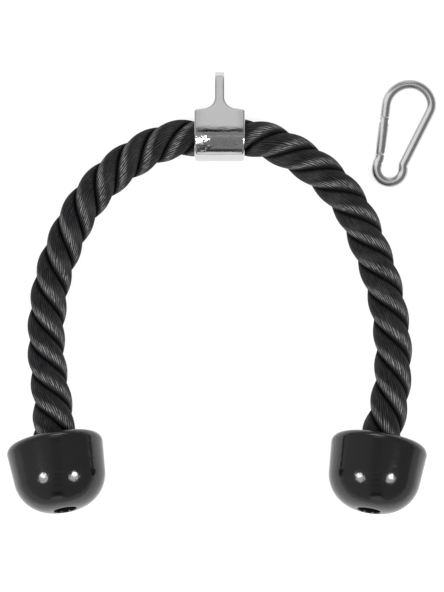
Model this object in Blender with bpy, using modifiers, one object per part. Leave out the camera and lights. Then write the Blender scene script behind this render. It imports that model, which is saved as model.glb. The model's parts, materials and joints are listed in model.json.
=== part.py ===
"""Triceps rope attachment for a cable machine, with the snap hook that comes with it.

A thick laid rope runs through a chromed collar, whose lug has the eye that the machine pulls on. A moulded
stopper sits on each end of the rope, held by a washer and a screw that is driven into the rope from the
stopper's base. All of it lies on a floor: +X to the right, +Y from the stoppers towards the eye, +Z up.
Lengths are in metres.
"""

import math

import bmesh
import bpy
import numpy as np
from mathutils import Matrix, Vector

# Clearances that all pieces share
FIT_GAP = 0.0003
CUT_OVERRUN = 0.003
WELD_DISTANCE = 0.00001

# Rope
ROPE_DIAMETER = 0.027
ROPE_POINT_SHARE = 0.75
ROPE_STRAIGHT_END = 0.002

# Collar: a sleeve round the rope, whose shoulders flare up to a lug with an eye
SLEEVE_LENGTH = 0.0378
SLEEVE_WALL = 0.0044
SLEEVE_MOUTH_ROUND_SHARE = 0.18
SHOULDER_RISE = 0.0004
SHOULDER_SLOPE = math.radians(9.0)
SHOULDER_ROUND = 0.002
FLARE_RADIUS = 0.0085
LUG_THICKNESS = 0.0073
EYE_HEIGHT = 0.037
EYE_OUTER_RADIUS = 0.013
EYE_HOLE_DIAMETER = 0.015
EYE_HOLE_ROUND = 0.001
COLLAR_EDGE_ROUND = 0.0011

# Stoppers
STOPPER_HEIGHT = 0.054
STOPPER_RADIUS = 0.0361
STOPPER_RIM_ROUND = 0.0064
STOPPER_DOME_RADIUS = 0.0272
STOPPER_TAPER = math.radians(4.7)
STOPPER_LIP_ROUND = 0.0009
STOPPER_MOUTH_ROUND = 0.0015
BASE_HOLE_DIAMETER = 0.0172
BASE_HOLE_DEPTH = 0.011
WEB_THICKNESS = 0.006
WASHER_THICKNESS = 0.0016
WASHER_SIDE_GAP = 0.0006
SCREW_SHANK_DIAMETER = 0.0045
SCREW_HEAD_DIAMETER = 0.0095
SCREW_HEAD_HEIGHT = 0.0032
SCREW_BITE = 0.019
SCREW_POINT_SHARE = 0.9
SCREW_HEAD_FLANK_SHARE = 0.45
SCREW_CROWN_SHARE = 0.62

# Where the stoppers lie, measured from the middle of the sleeve: the middle of each base, how far each
# stopper turns in plan, and how far its free end is tilted up off the floor
LEFT_BASE = (-0.1149, -0.2783)
RIGHT_BASE = (0.1112, -0.2788)
LEFT_TURN = math.radians(10.0)
RIGHT_TURN = math.radians(-9.7)
STOPPER_TILT = math.radians(14.0)

# The rope's route over the floor, as points on its centreline from the middle of the sleeve to each stopper
LEFT_ROUTE = (
    (-0.0297, -0.0009, 0.0179),
    (-0.0420, -0.0039, 0.0169),
    (-0.0560, -0.0102, 0.0155),
    (-0.0700, -0.0190, 0.0144),
    (-0.0840, -0.0302, 0.0139),
    (-0.0965, -0.0438, 0.0138),
    (-0.1075, -0.0606, 0.0138),
    (-0.1164, -0.0798, 0.0139),
    (-0.1234, -0.0986, 0.0145),
    (-0.1279, -0.1200, 0.0160),
    (-0.1302, -0.1428, 0.0182),
    (-0.1306, -0.1640, 0.0210),
    (-0.1295, -0.1830, 0.0241),
    (-0.1278, -0.2006, 0.0276),
    (-0.1261, -0.2140, 0.0306),
)
RIGHT_ROUTE = (
    (0.0305, -0.0014, 0.0179),
    (0.0430, -0.0056, 0.0168),
    (0.0565, -0.0125, 0.0154),
    (0.0705, -0.0216, 0.0144),
    (0.0840, -0.0334, 0.0139),
    (0.0952, -0.0464, 0.0138),
    (0.1040, -0.0609, 0.0138),
    (0.1118, -0.0794, 0.0139),
    (0.1186, -0.0974, 0.0145),
    (0.1240, -0.1160, 0.0158),
    (0.1277, -0.1348, 0.0174),
    (0.1298, -0.1535, 0.0196),
    (0.1300, -0.1715, 0.0222),
    (0.1286, -0.1885, 0.0251),
    (0.1261, -0.2030, 0.0280),
    (0.1231, -0.2155, 0.0309),
)
# The point of each route about which its stopper swings as the rope bends
LEFT_SWING_POINT = 9
RIGHT_SWING_POINT = 9

# Snap hook, drawn in its own plane: x inwards from the gate, y along the gate from the middle of its rivet
HOOK_PLACE = (0.12093, -0.01058)
HOOK_TURN = math.radians(-7.2)
WIRE_DIAMETER = 0.0068
BEND_WIRE_DIAMETER = 0.0073
SHOULDER_RADIUS = 0.0180
CROWN_RADIUS = 0.0166
HEEL_RADIUS = 0.0125
SHOULDER_HEIGHT = 0.0355
CROWN_FROM = math.radians(100.0)
HEEL_FROM = math.radians(27.0)
LEG_LEAN = math.radians(19.6)
LEG_END = 0.0078
BEND_RADIUS = 0.0100
BEND_OFFSET = 0.00865
BEND_DROP = 0.0118
BEND_ENTRY = math.radians(4.0)
BEND_START = math.radians(10.0)
BEND_END = math.radians(-200.0)
NECK_ROOT = math.radians(-184.0)
NECK_TOP = 0.0022
NECK_MIDDLE_SHARES = ((0.85, 0.74), (0.2, 0.53))
TAB_THICKNESS = 0.0026
TAB_HEIGHT = 0.0024
TAB_INNER_SIDE = 0.0029
TAB_OUTER_SIDE = 0.0023
TAB_INNER_ROUND = 0.0005
TAB_OUTER_ROUND = 0.0015
TAB_ROOT = 0.0035
GATE_DIAMETER = 0.0074
GATE_TAIL = 0.00185
GATE_LENGTH = 0.0263
GATE_OPENING = math.radians(35.0)
GATE_EDGE_ROUND = 0.0003
NOSE_GAP = 0.0006
NOSE_STEM_LENGTH = 0.0025
NOSE_STEM_WIDTH = 0.0024
NOSE_HEAD_LENGTH = 0.0018
NOSE_HEAD_WIDTH = 0.0044
NOSE_DEPTH = 0.0048
NOSE_HEAD_PLAY = 0.00065
RIVET_DIAMETER = 0.0020
RIVET_RECESS = 0.0002
BORE_DIAMETER = 0.0038
BORE_END = 0.0175
PLUNGER_BODY_LENGTH = 0.005
PLUNGER_SPIGOT_LENGTH = 0.0025
SPRING_WIRE_DIAMETER = 0.0005
SPRING_TURNS = 7

# How finely round shapes are drawn
TURNED_STEPS = 48
SMALL_TURNED_STEPS = 24
ARC_STEP = math.radians(11.0)
SMALL_ARC_STEP = math.radians(22.5)
TUBE_RESOLUTION = 4
SPRING_POINTS = 10
SMOOTH_ANGLE = math.radians(35.0)
# Colour, roughness and metallic value of each surface
LOOKS = {
    "chrome": ((0.62, 0.62, 0.63), 0.08, 1.0),
    "zinc_plate": ((0.55, 0.55, 0.56), 0.25, 1.0),
    "black_rope": ((0.025, 0.025, 0.027), 0.7, 0.0),
    "glossy_black": ((0.012, 0.012, 0.013), 0.16, 0.0),
}
# Turns a flat outline in xy, so that its thickness lies along x
PLATE_ALONG_X = Matrix(((0, 0, 1, 0), (0, 1, 0, 0), (-1, 0, 0, 0), (0, 0, 0, 1)))

rope_radius = ROPE_DIAMETER / 2
sleeve_bore_radius = rope_radius + FIT_GAP
sleeve_radius = sleeve_bore_radius + SLEEVE_WALL
sleeve_half = SLEEVE_LENGTH / 2
sleeve_mouth_round = SLEEVE_MOUTH_ROUND_SHARE * SLEEVE_WALL
gate_radius = GATE_DIAMETER / 2
wire_radius = WIRE_DIAMETER / 2
hook_height = max(GATE_DIAMETER, BEND_WIRE_DIAMETER) / 2


def clear_scene():
    for obj in list(bpy.data.objects):
        bpy.data.objects.remove(obj, do_unlink=True)


def new_collection(name):
    collection = bpy.data.collections.new(name)
    bpy.context.scene.collection.children.link(collection)
    return collection


def paint(obj, look):
    """Give the object its own Principled material in one of the looks."""
    colour, roughness, metallic = LOOKS[look]
    material = bpy.data.materials.new(f"{obj.name}_{look}")
    material.use_nodes = True
    shader = material.node_tree.nodes["Principled BSDF"]
    shader.inputs["Base Color"].default_value = (*colour, 1.0)
    shader.inputs["Roughness"].default_value = roughness
    shader.inputs["Metallic"].default_value = metallic
    material.diffuse_color = (*colour, 1.0)
    obj.data.materials.append(material)


def add_object(name, data, collection, parent=None):
    obj = bpy.data.objects.new(name, data)
    collection.objects.link(obj)
    obj.parent = parent
    return obj


def add_empty(name, collection, parent=None, location=(0, 0, 0), turn=None):
    """A place in the assembly: pieces hang on it, and a moving group's place is on its joint axis."""
    empty = add_object(name, None, collection, parent)
    empty.location = location
    if turn is not None:
        empty.rotation_euler = turn.to_euler()
    return empty


def set_smooth(mesh):
    mesh.shade_smooth()
    mesh.set_sharp_from_angle(angle=SMOOTH_ANGLE)


def arc(centre, radius, start, end, step=ARC_STEP):
    """Points on a round arc from one angle to the other, both ends included."""
    count = max(2, math.ceil(abs(end - start) / step) + 1)
    angles = np.linspace(start, end, count)
    return [(centre[0] + radius * math.cos(a), centre[1] + radius * math.sin(a)) for a in angles]


def smooth_curve(route, start_direction, end_direction, spacing):
    """Evenly spaced points on the cubic spline through the route, with its direction set at both ends."""
    points = np.array(route, float)
    chords = np.linalg.norm(np.diff(points, axis=0), axis=1)
    last = len(points) - 1
    matrix = np.zeros((last + 1, last + 1))
    right = np.zeros_like(points)
    matrix[0, 0] = matrix[last, last] = 1
    right[0] = Vector(start_direction).normalized()
    right[last] = Vector(end_direction).normalized()
    for i in range(1, last):
        before, after = chords[i - 1], chords[i]
        matrix[i, i - 1 : i + 2] = after, 2 * (before + after), before
        rise = after * (points[i] - points[i - 1]) / before + before * (points[i + 1] - points[i]) / after
        right[i] = 3 * rise
    slopes = np.linalg.solve(matrix, right)
    fine = [points[0]]
    for i, chord in enumerate(chords):
        for t in np.linspace(0, 1, 21)[1:]:
            start = (1 + 2 * t) * (1 - t) ** 2 * points[i] + t * (1 - t) ** 2 * chord * slopes[i]
            end = t**2 * (3 - 2 * t) * points[i + 1] + t**2 * (t - 1) * chord * slopes[i + 1]
            fine.append(start + end)
    fine = np.array(fine)
    along = np.concatenate([[0], np.cumsum(np.linalg.norm(np.diff(fine, axis=0), axis=1))])
    count = max(3, round(along[-1] / spacing) + 1)
    places = np.linspace(0, along[-1], count)
    return np.column_stack([np.interp(places, along, fine[:, axis]) for axis in range(3)])


def tube_curve(name, points, radius, collection, parent=None, resolution=TUBE_RESOLUTION):
    """A round tube with filled ends along the points."""
    curve = bpy.data.curves.new(name, "CURVE")
    curve.dimensions = "3D"
    curve.bevel_depth = radius
    curve.bevel_resolution = resolution
    curve.use_fill_caps = True
    spline = curve.splines.new("POLY")
    spline.points.add(len(points) - 1)
    for target, point in zip(spline.points, points):
        target.co = (*point, 1)
    spline.use_smooth = True
    return add_object(name, curve, collection, parent)


def plate_curve(name, outline, thickness, collection, parent=None):
    """A flat outline in the xy plane with half of its thickness on either side."""
    curve = bpy.data.curves.new(name, "CURVE")
    curve.dimensions = "2D"
    curve.fill_mode = "BOTH"
    curve.extrude = thickness / 2
    spline = curve.splines.new("POLY")
    spline.points.add(len(outline) - 1)
    for target, point in zip(spline.points, outline):
        target.co = (*point, 0, 1)
    spline.use_cyclic_u = True
    return add_object(name, curve, collection, parent)


def as_mesh(curve_object, turn=None):
    """The curve's surface as a mesh object in its place, with its caps welded on."""
    bpy.context.view_layer.update()
    evaluated = curve_object.evaluated_get(bpy.context.evaluated_depsgraph_get())
    mesh = bpy.data.meshes.new_from_object(evaluated)
    shape = bmesh.new()
    shape.from_mesh(mesh)
    bmesh.ops.remove_doubles(shape, verts=shape.verts, dist=WELD_DISTANCE)
    bmesh.ops.recalc_face_normals(shape, faces=shape.faces)
    if turn is not None:
        shape.transform(turn)
    shape.to_mesh(mesh)
    shape.free()
    name = curve_object.name
    collection = curve_object.users_collection[0]
    parent = curve_object.parent
    curve = curve_object.data
    bpy.data.objects.remove(curve_object)
    bpy.data.curves.remove(curve)
    solid = add_object(name, mesh, collection, parent)
    return solid


def cylinder(name, radius, start, end, collection, parent=None, steps=SMALL_TURNED_STEPS, turn=None):
    """A round bar along z from start to end, or along another axis by the turn."""
    shape = bmesh.new()
    middle = Matrix.Translation((0, 0, (start + end) / 2))
    size = {"radius1": radius, "radius2": radius, "depth": end - start}
    bmesh.ops.create_cone(shape, cap_ends=True, segments=steps, matrix=middle, **size)
    if turn is not None:
        shape.transform(turn)
    mesh = bpy.data.meshes.new(name)
    shape.to_mesh(mesh)
    shape.free()
    return add_object(name, mesh, collection, parent)


def block(name, low, high, collection, parent=None, turn=None):
    """A box between two corners."""
    low, high = Vector(low), Vector(high)
    shape = bmesh.new()
    size = Matrix.Diagonal((*(high - low), 1))
    bmesh.ops.create_cube(shape, size=1, matrix=Matrix.Translation((low + high) / 2) @ size)
    if turn is not None:
        shape.transform(turn)
    mesh = bpy.data.meshes.new(name)
    shape.to_mesh(mesh)
    shape.free()
    return add_object(name, mesh, collection, parent)


def turned(name, profile, collection, parent=None, closed=True, steps=TURNED_STEPS):
    """A profile of (radius, height) turned about z. It runs down its outer side."""
    mesh = bpy.data.meshes.new(name)
    corners = [(radius, 0, height) for radius, height in profile]
    edges = [(i, i + 1) for i in range(len(corners) - 1)]
    if closed:
        edges.append((len(corners) - 1, 0))
    mesh.from_pydata(corners, edges, [])
    obj = add_object(name, mesh, collection, parent)
    screw = obj.modifiers.new("turn", "SCREW")
    screw.axis = "Z"
    screw.angle = 2 * math.pi
    screw.steps = steps
    screw.render_steps = steps
    screw.use_merge_vertices = True
    screw.merge_threshold = WELD_DISTANCE
    screw.use_smooth_shade = True
    return obj


def combine(target, helper, operation):
    """Cut, join or trim the target by a helper, which no longer shows by itself."""
    helper.hide_render = True
    helper.display_type = "WIRE"
    modifier = target.modifiers.new(f"{operation.lower()} {helper.name}", "BOOLEAN")
    modifier.operation = operation
    modifier.solver = "EXACT"
    modifier.object = helper


def round_edges(target, width, segments, angle):
    bevel = target.modifiers.new("rounded edges", "BEVEL")
    bevel.width = width
    bevel.segments = segments
    bevel.limit_method = "ANGLE"
    bevel.angle_limit = angle
    bevel.harden_normals = False


def flared_profile(radius, half_length, mouth_round):
    """The outline of a bore cutter whose two mouths widen by a quarter round."""
    wide = radius + mouth_round
    top = arc((wide, half_length - mouth_round), mouth_round, math.pi, math.pi / 2, SMALL_ARC_STEP)
    bottom = [(r, -h) for r, h in reversed(top)]
    # The mouth's widest circle carries on straight past the face
    reach = half_length + CUT_OVERRUN
    return [(0, reach), (wide, reach), *reversed(top), *reversed(bottom), (wide, -reach), (0, -reach)]


def collar_outline():
    """The collar's front outline: the sleeve's length below, sloped shoulders, and flares up to the lug."""
    half_lug = LUG_THICKNESS / 2
    fall = math.tan(SHOULDER_SLOPE)
    edge_height = sleeve_radius + SHOULDER_RISE
    corner_x = sleeve_half - SHOULDER_ROUND
    corner_top = edge_height + (sleeve_half - corner_x) * fall
    corner = (corner_x, corner_top - SHOULDER_ROUND / math.cos(SHOULDER_SLOPE))
    flare_x = half_lug + FLARE_RADIUS
    flare_foot = edge_height + (sleeve_half - flare_x) * fall
    flare = (flare_x, flare_foot + FLARE_RADIUS / math.cos(SHOULDER_SLOPE))
    right = [(sleeve_half, -sleeve_radius - CUT_OVERRUN)]
    right += arc(corner, SHOULDER_ROUND, 0, math.pi / 2 - SHOULDER_SLOPE, SMALL_ARC_STEP)
    right += arc(flare, FLARE_RADIUS, 3 * math.pi / 2 - SHOULDER_SLOPE, math.pi)
    right.append((half_lug, EYE_HEIGHT + EYE_OUTER_RADIUS + CUT_OVERRUN))
    return right + [(-x, y) for x, y in reversed(right)]


def eye_collar(parts, cutters, place):
    """The sleeve and its lug as one forging: a teardrop blank, trimmed to its front outline, then bored."""
    taper = math.asin((sleeve_radius - EYE_OUTER_RADIUS) / EYE_HEIGHT)
    sleeve_arc = arc((0, 0), sleeve_radius, math.pi - taper, 2 * math.pi + taper, SMALL_ARC_STEP / 2)
    eye_arc = arc((0, EYE_HEIGHT), EYE_OUTER_RADIUS, taper, math.pi - taper, SMALL_ARC_STEP / 2)
    blank_length = SLEEVE_LENGTH + 2 * CUT_OVERRUN
    blank = plate_curve("eye_collar", sleeve_arc + eye_arc, blank_length, parts, place)
    collar = as_mesh(blank, PLATE_ALONG_X)
    depth = 2 * (sleeve_radius + CUT_OVERRUN)
    outline = as_mesh(plate_curve("collar_outline", collar_outline(), depth, cutters, place))
    combine(collar, outline, "INTERSECT")
    round_edges(collar, COLLAR_EDGE_ROUND, 2, math.radians(60))

    z_to_x = Matrix.Rotation(math.pi / 2, 4, "Y")
    bore_profile = flared_profile(sleeve_bore_radius, sleeve_half, sleeve_mouth_round)
    bore = turned("collar_bore", bore_profile, cutters, place, False)
    bore.rotation_euler = z_to_x.to_euler()
    combine(collar, bore, "DIFFERENCE")
    eye_profile = flared_profile(EYE_HOLE_DIAMETER / 2, LUG_THICKNESS / 2, EYE_HOLE_ROUND)
    eye = turned("eye_hole", eye_profile, cutters, place, False, SMALL_TURNED_STEPS)
    eye.rotation_euler = z_to_x.to_euler()
    eye.location = (0, EYE_HEIGHT, 0)
    combine(collar, eye, "DIFFERENCE")
    set_smooth(collar.data)
    paint(collar, "chrome")
    return collar


def stopper_profile():
    """Half of the stopper's section, from its base at height 0 to the rope's mouth."""
    taper = STOPPER_TAPER
    rim_centre = (STOPPER_RADIUS - STOPPER_RIM_ROUND, STOPPER_HEIGHT - STOPPER_RIM_ROUND)
    inward = STOPPER_DOME_RADIUS - STOPPER_RIM_ROUND
    inward += math.sin(taper) * (rim_centre[1] - STOPPER_DOME_RADIUS)
    dome_centre = (rim_centre[0] - inward / math.cos(taper), STOPPER_DOME_RADIUS)
    socket = rope_radius + FIT_GAP
    hole = BASE_HOLE_DIAMETER / 2
    screw_hole = SCREW_SHANK_DIAMETER / 2 + FIT_GAP
    mouth_centre = (socket + STOPPER_MOUTH_ROUND, STOPPER_HEIGHT - STOPPER_MOUTH_ROUND)
    lip_centre = (hole + STOPPER_LIP_ROUND, STOPPER_LIP_ROUND)
    lip_angle = -math.acos((lip_centre[0] - dome_centre[0]) / (STOPPER_DOME_RADIUS - STOPPER_LIP_ROUND))
    lip_height = dome_centre[1] + (STOPPER_DOME_RADIUS - STOPPER_LIP_ROUND) * math.sin(lip_angle)
    outline = arc(mouth_centre, STOPPER_MOUTH_ROUND, math.pi, math.pi / 2, SMALL_ARC_STEP)
    outline += arc(rim_centre, STOPPER_RIM_ROUND, math.pi / 2, -taper, ARC_STEP)
    outline += arc(dome_centre, STOPPER_DOME_RADIUS, -taper, lip_angle, ARC_STEP)
    lip = arc((lip_centre[0], lip_height), STOPPER_LIP_ROUND, lip_angle, -math.pi, SMALL_ARC_STEP)
    outline += lip[1:]
    outline += [(hole, BASE_HOLE_DEPTH), (screw_hole, BASE_HOLE_DEPTH)]
    web_top = BASE_HOLE_DEPTH + WEB_THICKNESS
    outline += [(screw_hole, web_top), (socket, web_top)]
    return outline


def screw_profile(head_face, tip):
    """Pan head, shank and point of the screw. The head's flat side is at head_face, above the head."""
    shank = SCREW_SHANK_DIAMETER / 2
    head = SCREW_HEAD_DIAMETER / 2
    point = head_face + SCREW_POINT_SHARE * (tip - head_face)
    flank = head_face - SCREW_HEAD_FLANK_SHARE * SCREW_HEAD_HEIGHT
    crown = head_face - SCREW_HEAD_HEIGHT
    profile = [(0, tip), (shank, point), (shank, head_face), (head, head_face), (head, flank)]
    return profile + [(head * SCREW_CROWN_SHARE, crown), (0, crown)]


def stopper_frame(base, turn, swing_point):
    """The stopper's place from the swing's axis: its z runs from the base up to the rope's mouth."""
    plan = Matrix.Rotation(turn, 3, "Z")
    # Untilted, the stopper's axis points along +Y, towards the rope, with its own x pointing down
    upright = Matrix(((0, -1, 0), (0, 0, 1), (-1, 0, 0)))
    tilt = Matrix.Rotation(-STOPPER_TILT, 3, "X")
    turned_frame = plan @ tilt @ upright
    rim_centre = STOPPER_HEIGHT - STOPPER_RIM_ROUND
    rim_height = (STOPPER_RADIUS - STOPPER_RIM_ROUND) * math.cos(STOPPER_TILT) + STOPPER_RIM_ROUND
    base_height = rim_height + rim_centre * math.sin(STOPPER_TILT)
    location = Vector((*base, base_height))
    return location - Vector(swing_point), turned_frame


def rope_end(side, base, turn, swing_point, parts, root):
    """A stopper with what holds it on the rope. It swings about an upright axis on the rope's centreline."""
    swing = add_empty(f"{side}_end_swing", parts, root, swing_point)
    location, frame = stopper_frame(base, turn, swing_point)
    seat = add_empty(f"{side}_stopper_place", parts, swing, location, frame)

    stopper = turned(f"stopper_{side}", stopper_profile(), parts, seat)
    paint(stopper, "glossy_black")

    hole = BASE_HOLE_DIAMETER / 2 - WASHER_SIDE_GAP
    inner = SCREW_SHANK_DIAMETER / 2 + FIT_GAP
    top = BASE_HOLE_DEPTH - FIT_GAP
    bottom = top - WASHER_THICKNESS
    ring = [(inner, top), (hole, top), (hole, bottom), (inner, bottom)]
    washer = turned(f"washer_{side}", ring, parts, seat, steps=SMALL_TURNED_STEPS)
    paint(washer, "zinc_plate")

    web_top = BASE_HOLE_DEPTH + WEB_THICKNESS
    tip = web_top + SCREW_BITE
    profile = screw_profile(bottom - FIT_GAP, tip)
    screw = turned(f"end_screw_{side}", profile, parts, seat, False, SMALL_TURNED_STEPS)
    paint(screw, "zinc_plate")

    pilot = SCREW_SHANK_DIAMETER / 2 + FIT_GAP
    low = web_top + FIT_GAP
    plug = [(0, STOPPER_HEIGHT), (rope_radius, STOPPER_HEIGHT), (rope_radius, low), (pilot, low)]
    plug += [(pilot, tip), (0, tip + FIT_GAP)]
    end = turned(f"rope_end_{side}", plug, parts, seat, False, SMALL_TURNED_STEPS)
    paint(end, "black_rope")


def free_rope(side, route, base, turn, parts, root):
    """The free stretch from the sleeve's mouth to the stopper's mouth, as a plain tube."""
    away = 1 if route[0][0] > 0 else -1
    start = (away * (sleeve_half + FIT_GAP), 0, sleeve_radius)
    origin, frame = stopper_frame(base, turn, (0, 0, 0))
    mouth = origin + frame @ Vector((0, 0, STOPPER_HEIGHT + FIT_GAP))
    into_stopper = frame @ Vector((0, 0, -1))
    # Both ends run straight for a little way, so that their end faces are square to the mouths
    out = Vector((away, 0, 0))
    leaving = Vector(start) + ROPE_STRAIGHT_END * out
    arriving = mouth - ROPE_STRAIGHT_END * into_stopper
    spacing = ROPE_POINT_SHARE * ROPE_DIAMETER
    bent = smooth_curve((leaving, *route, arriving), out, into_stopper, spacing)
    centreline = np.vstack([start, bent, mouth])
    tube = tube_curve(f"rope_{side}", centreline, rope_radius, parts, root)
    paint(tube, "black_rope")


def t_outline(stem_half, head_half, bottom, step, top):
    """A T that stands on its head: the head from the bottom up to the step, and the stem on to the top."""
    right = [(head_half, bottom), (head_half, step), (stem_half, step), (stem_half, top)]
    return right + [(-x, y) for x, y in reversed(right)]


def bend_centre():
    return BEND_OFFSET, -BEND_DROP


def frame_centreline():
    """The hook's wire from its nose over the crown, down the back leg and round to the hinge's neck."""
    shoulder = (SHOULDER_RADIUS, SHOULDER_HEIGHT)
    inward = SHOULDER_RADIUS - CROWN_RADIUS
    crown = (shoulder[0] + inward * math.cos(CROWN_FROM), shoulder[1] + inward * math.sin(CROWN_FROM))
    inward = CROWN_RADIUS - HEEL_RADIUS
    heel = (crown[0] + inward * math.cos(HEEL_FROM), crown[1] + inward * math.sin(HEEL_FROM))
    path = [(0, GATE_LENGTH + NOSE_GAP)]
    path += arc(shoulder, SHOULDER_RADIUS, math.pi, CROWN_FROM)
    path += arc(crown, CROWN_RADIUS, CROWN_FROM, HEEL_FROM)[1:]
    path += arc(heel, HEEL_RADIUS, HEEL_FROM, -LEG_LEAN)[1:]
    leg_top = path[-1]
    path.append((leg_top[0] - (leg_top[1] + LEG_END) * math.tan(LEG_LEAN), -LEG_END))
    path += arc(bend_centre(), BEND_RADIUS, BEND_ENTRY, NECK_ROOT)
    root = path[-1]
    middle = [(root[0] * across, root[1] * up) for across, up in NECK_MIDDLE_SHARES]
    neck = [(*point, 0) for point in (root, *middle, (0, -NECK_TOP))]
    path = [(x, y, 0) for x, y in path[:-1]]
    return path + [tuple(point) for point in smooth_curve(neck, (0, 1, 0), (0, 1, 0), wire_radius / 2)]


def hook_frame(parts, cutters, place):
    """The bent wire, its pressed lower bend, the hinge tab and the T-shaped nose, joined into one piece."""
    frame = as_mesh(tube_curve("hook_frame", frame_centreline(), wire_radius, parts, place))

    # The press leaves the lower bend a little thicker, with a shoulder at each end
    bend_path = [(x, y, 0) for x, y in arc(bend_centre(), BEND_RADIUS, BEND_START, BEND_END)]
    bend = as_mesh(tube_curve("hook_lower_bend", bend_path, BEND_WIRE_DIAMETER / 2, cutters, place))
    combine(frame, bend, "UNION")

    # The tab's inner corner pushes the plunger up the gate as the gate opens
    inner = (TAB_INNER_SIDE - TAB_INNER_ROUND, TAB_HEIGHT - TAB_INNER_ROUND)
    outer = (TAB_OUTER_ROUND - TAB_OUTER_SIDE, TAB_HEIGHT - TAB_OUTER_ROUND)
    tab_outline = [(-TAB_OUTER_SIDE, -TAB_ROOT), (TAB_INNER_SIDE, -TAB_ROOT)]
    tab_outline += arc(inner, TAB_INNER_ROUND, 0, math.pi / 2, SMALL_ARC_STEP)
    tab_outline += arc(outer, TAB_OUTER_ROUND, math.pi / 2, math.pi, SMALL_ARC_STEP)
    tab = as_mesh(plate_curve("hinge_tab", tab_outline, TAB_THICKNESS, cutters, place))
    combine(frame, tab, "UNION")
    hole_radius = RIVET_DIAMETER / 2 + FIT_GAP
    hole = cylinder("tab_hole", hole_radius, -TAB_THICKNESS, TAB_THICKNESS, cutters, place)
    combine(frame, hole, "DIFFERENCE")

    # The nose ends in a T that locks into the gate's slot
    shoulder = GATE_LENGTH + NOSE_GAP
    head_top = shoulder - NOSE_STEM_LENGTH
    head_bottom = head_top - NOSE_HEAD_LENGTH
    root = shoulder + wire_radius / 2
    outline = t_outline(NOSE_STEM_WIDTH / 2, NOSE_HEAD_WIDTH / 2, head_bottom, head_top, root)
    nose = as_mesh(plate_curve("nose", outline, NOSE_DEPTH, cutters, place), PLATE_ALONG_X)
    combine(frame, nose, "UNION")
    set_smooth(frame.data)
    paint(frame, "zinc_plate")


def gate(parts, cutters, place):
    """The round gate: slotted over the tab, bored for its spring, and cut with a T-slot for the nose."""
    z_to_y = Matrix.Rotation(-math.pi / 2, 4, "X")
    bar = cylinder("gate", gate_radius, -GATE_TAIL, GATE_LENGTH, parts, place, SMALL_TURNED_STEPS, z_to_y)
    round_edges(bar, GATE_EDGE_ROUND, 1, math.radians(60))
    wide = gate_radius + CUT_OVERRUN

    slot_half = TAB_THICKNESS / 2 + FIT_GAP
    slot_top = math.hypot(TAB_INNER_SIDE, TAB_HEIGHT) + FIT_GAP
    low = (-wide, -GATE_TAIL - CUT_OVERRUN, -slot_half)
    slot = block("gate_tab_slot", low, (wide, slot_top, slot_half), cutters, place)
    combine(bar, slot, "DIFFERENCE")

    bore = cylinder("spring_bore", BORE_DIAMETER / 2, TAB_HEIGHT, BORE_END, cutters, place, turn=z_to_y)
    combine(bar, bore, "DIFFERENCE")

    hole = cylinder("gate_rivet_hole", RIVET_DIAMETER / 2 + FIT_GAP, -wide, wide, cutters, place)
    combine(bar, hole, "DIFFERENCE")

    # The heel's inner side is cut back, so that it lands flat on the neck when the gate is fully open
    heel_low = (-wide, -GATE_TAIL - 2 * gate_radius, -wide)
    heel_turn = Matrix.Rotation(GATE_OPENING, 4, "Z")
    heel = block("gate_heel", heel_low, (2 * wide, -GATE_TAIL, wide), cutters, place, heel_turn)
    combine(bar, heel, "DIFFERENCE")

    head_top = GATE_LENGTH + NOSE_GAP - NOSE_STEM_LENGTH
    lip_bottom = head_top + NOSE_GAP
    floor = head_top - NOSE_HEAD_LENGTH - NOSE_HEAD_PLAY
    stem_half = NOSE_STEM_WIDTH / 2 + FIT_GAP
    head_half = NOSE_HEAD_WIDTH / 2 + FIT_GAP
    outline = t_outline(stem_half, head_half, floor, lip_bottom, GATE_LENGTH + CUT_OVERRUN)
    slot = as_mesh(plate_curve("gate_nose_slot", outline, 2 * wide, cutters, place), PLATE_ALONG_X)
    combine(bar, slot, "DIFFERENCE")
    set_smooth(bar.data)
    paint(bar, "zinc_plate")


def gate_works(parts, gate_place, plunger_place):
    """The spring in the gate's bore, and the plunger that it presses onto the tab."""
    y_from_z = Matrix.Rotation(-math.pi / 2, 3, "X")
    spring_radius = BORE_DIAMETER / 2 - FIT_GAP
    seat = TAB_HEIGHT + FIT_GAP
    body_end = seat + PLUNGER_BODY_LENGTH
    spigot_radius = spring_radius - SPRING_WIRE_DIAMETER - FIT_GAP
    spigot_end = body_end + PLUNGER_SPIGOT_LENGTH
    profile = [(0, spigot_end), (spigot_radius, spigot_end), (spigot_radius, body_end)]
    profile += [(spring_radius, body_end), (spring_radius, seat), (0, seat)]
    # The plunger's place is on the rivet's axis, and its z runs along the gate
    plunger = turned("spring_plunger", profile, parts, plunger_place, False, SMALL_TURNED_STEPS)
    plunger.rotation_euler = y_from_z.to_euler()
    paint(plunger, "zinc_plate")

    wire = SPRING_WIRE_DIAMETER / 2
    start = body_end + FIT_GAP + wire
    end = BORE_END - FIT_GAP - wire
    coil_radius = spring_radius - wire
    count = SPRING_TURNS * SPRING_POINTS + 1
    coil = []
    for i in range(count):
        angle = 2 * math.pi * i / SPRING_POINTS
        height = start + (end - start) * i / (count - 1)
        coil.append((coil_radius * math.cos(angle), height, coil_radius * math.sin(angle)))
    spring = tube_curve("gate_spring", coil, wire, parts, gate_place, resolution=1)
    paint(spring, "zinc_plate")


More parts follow.
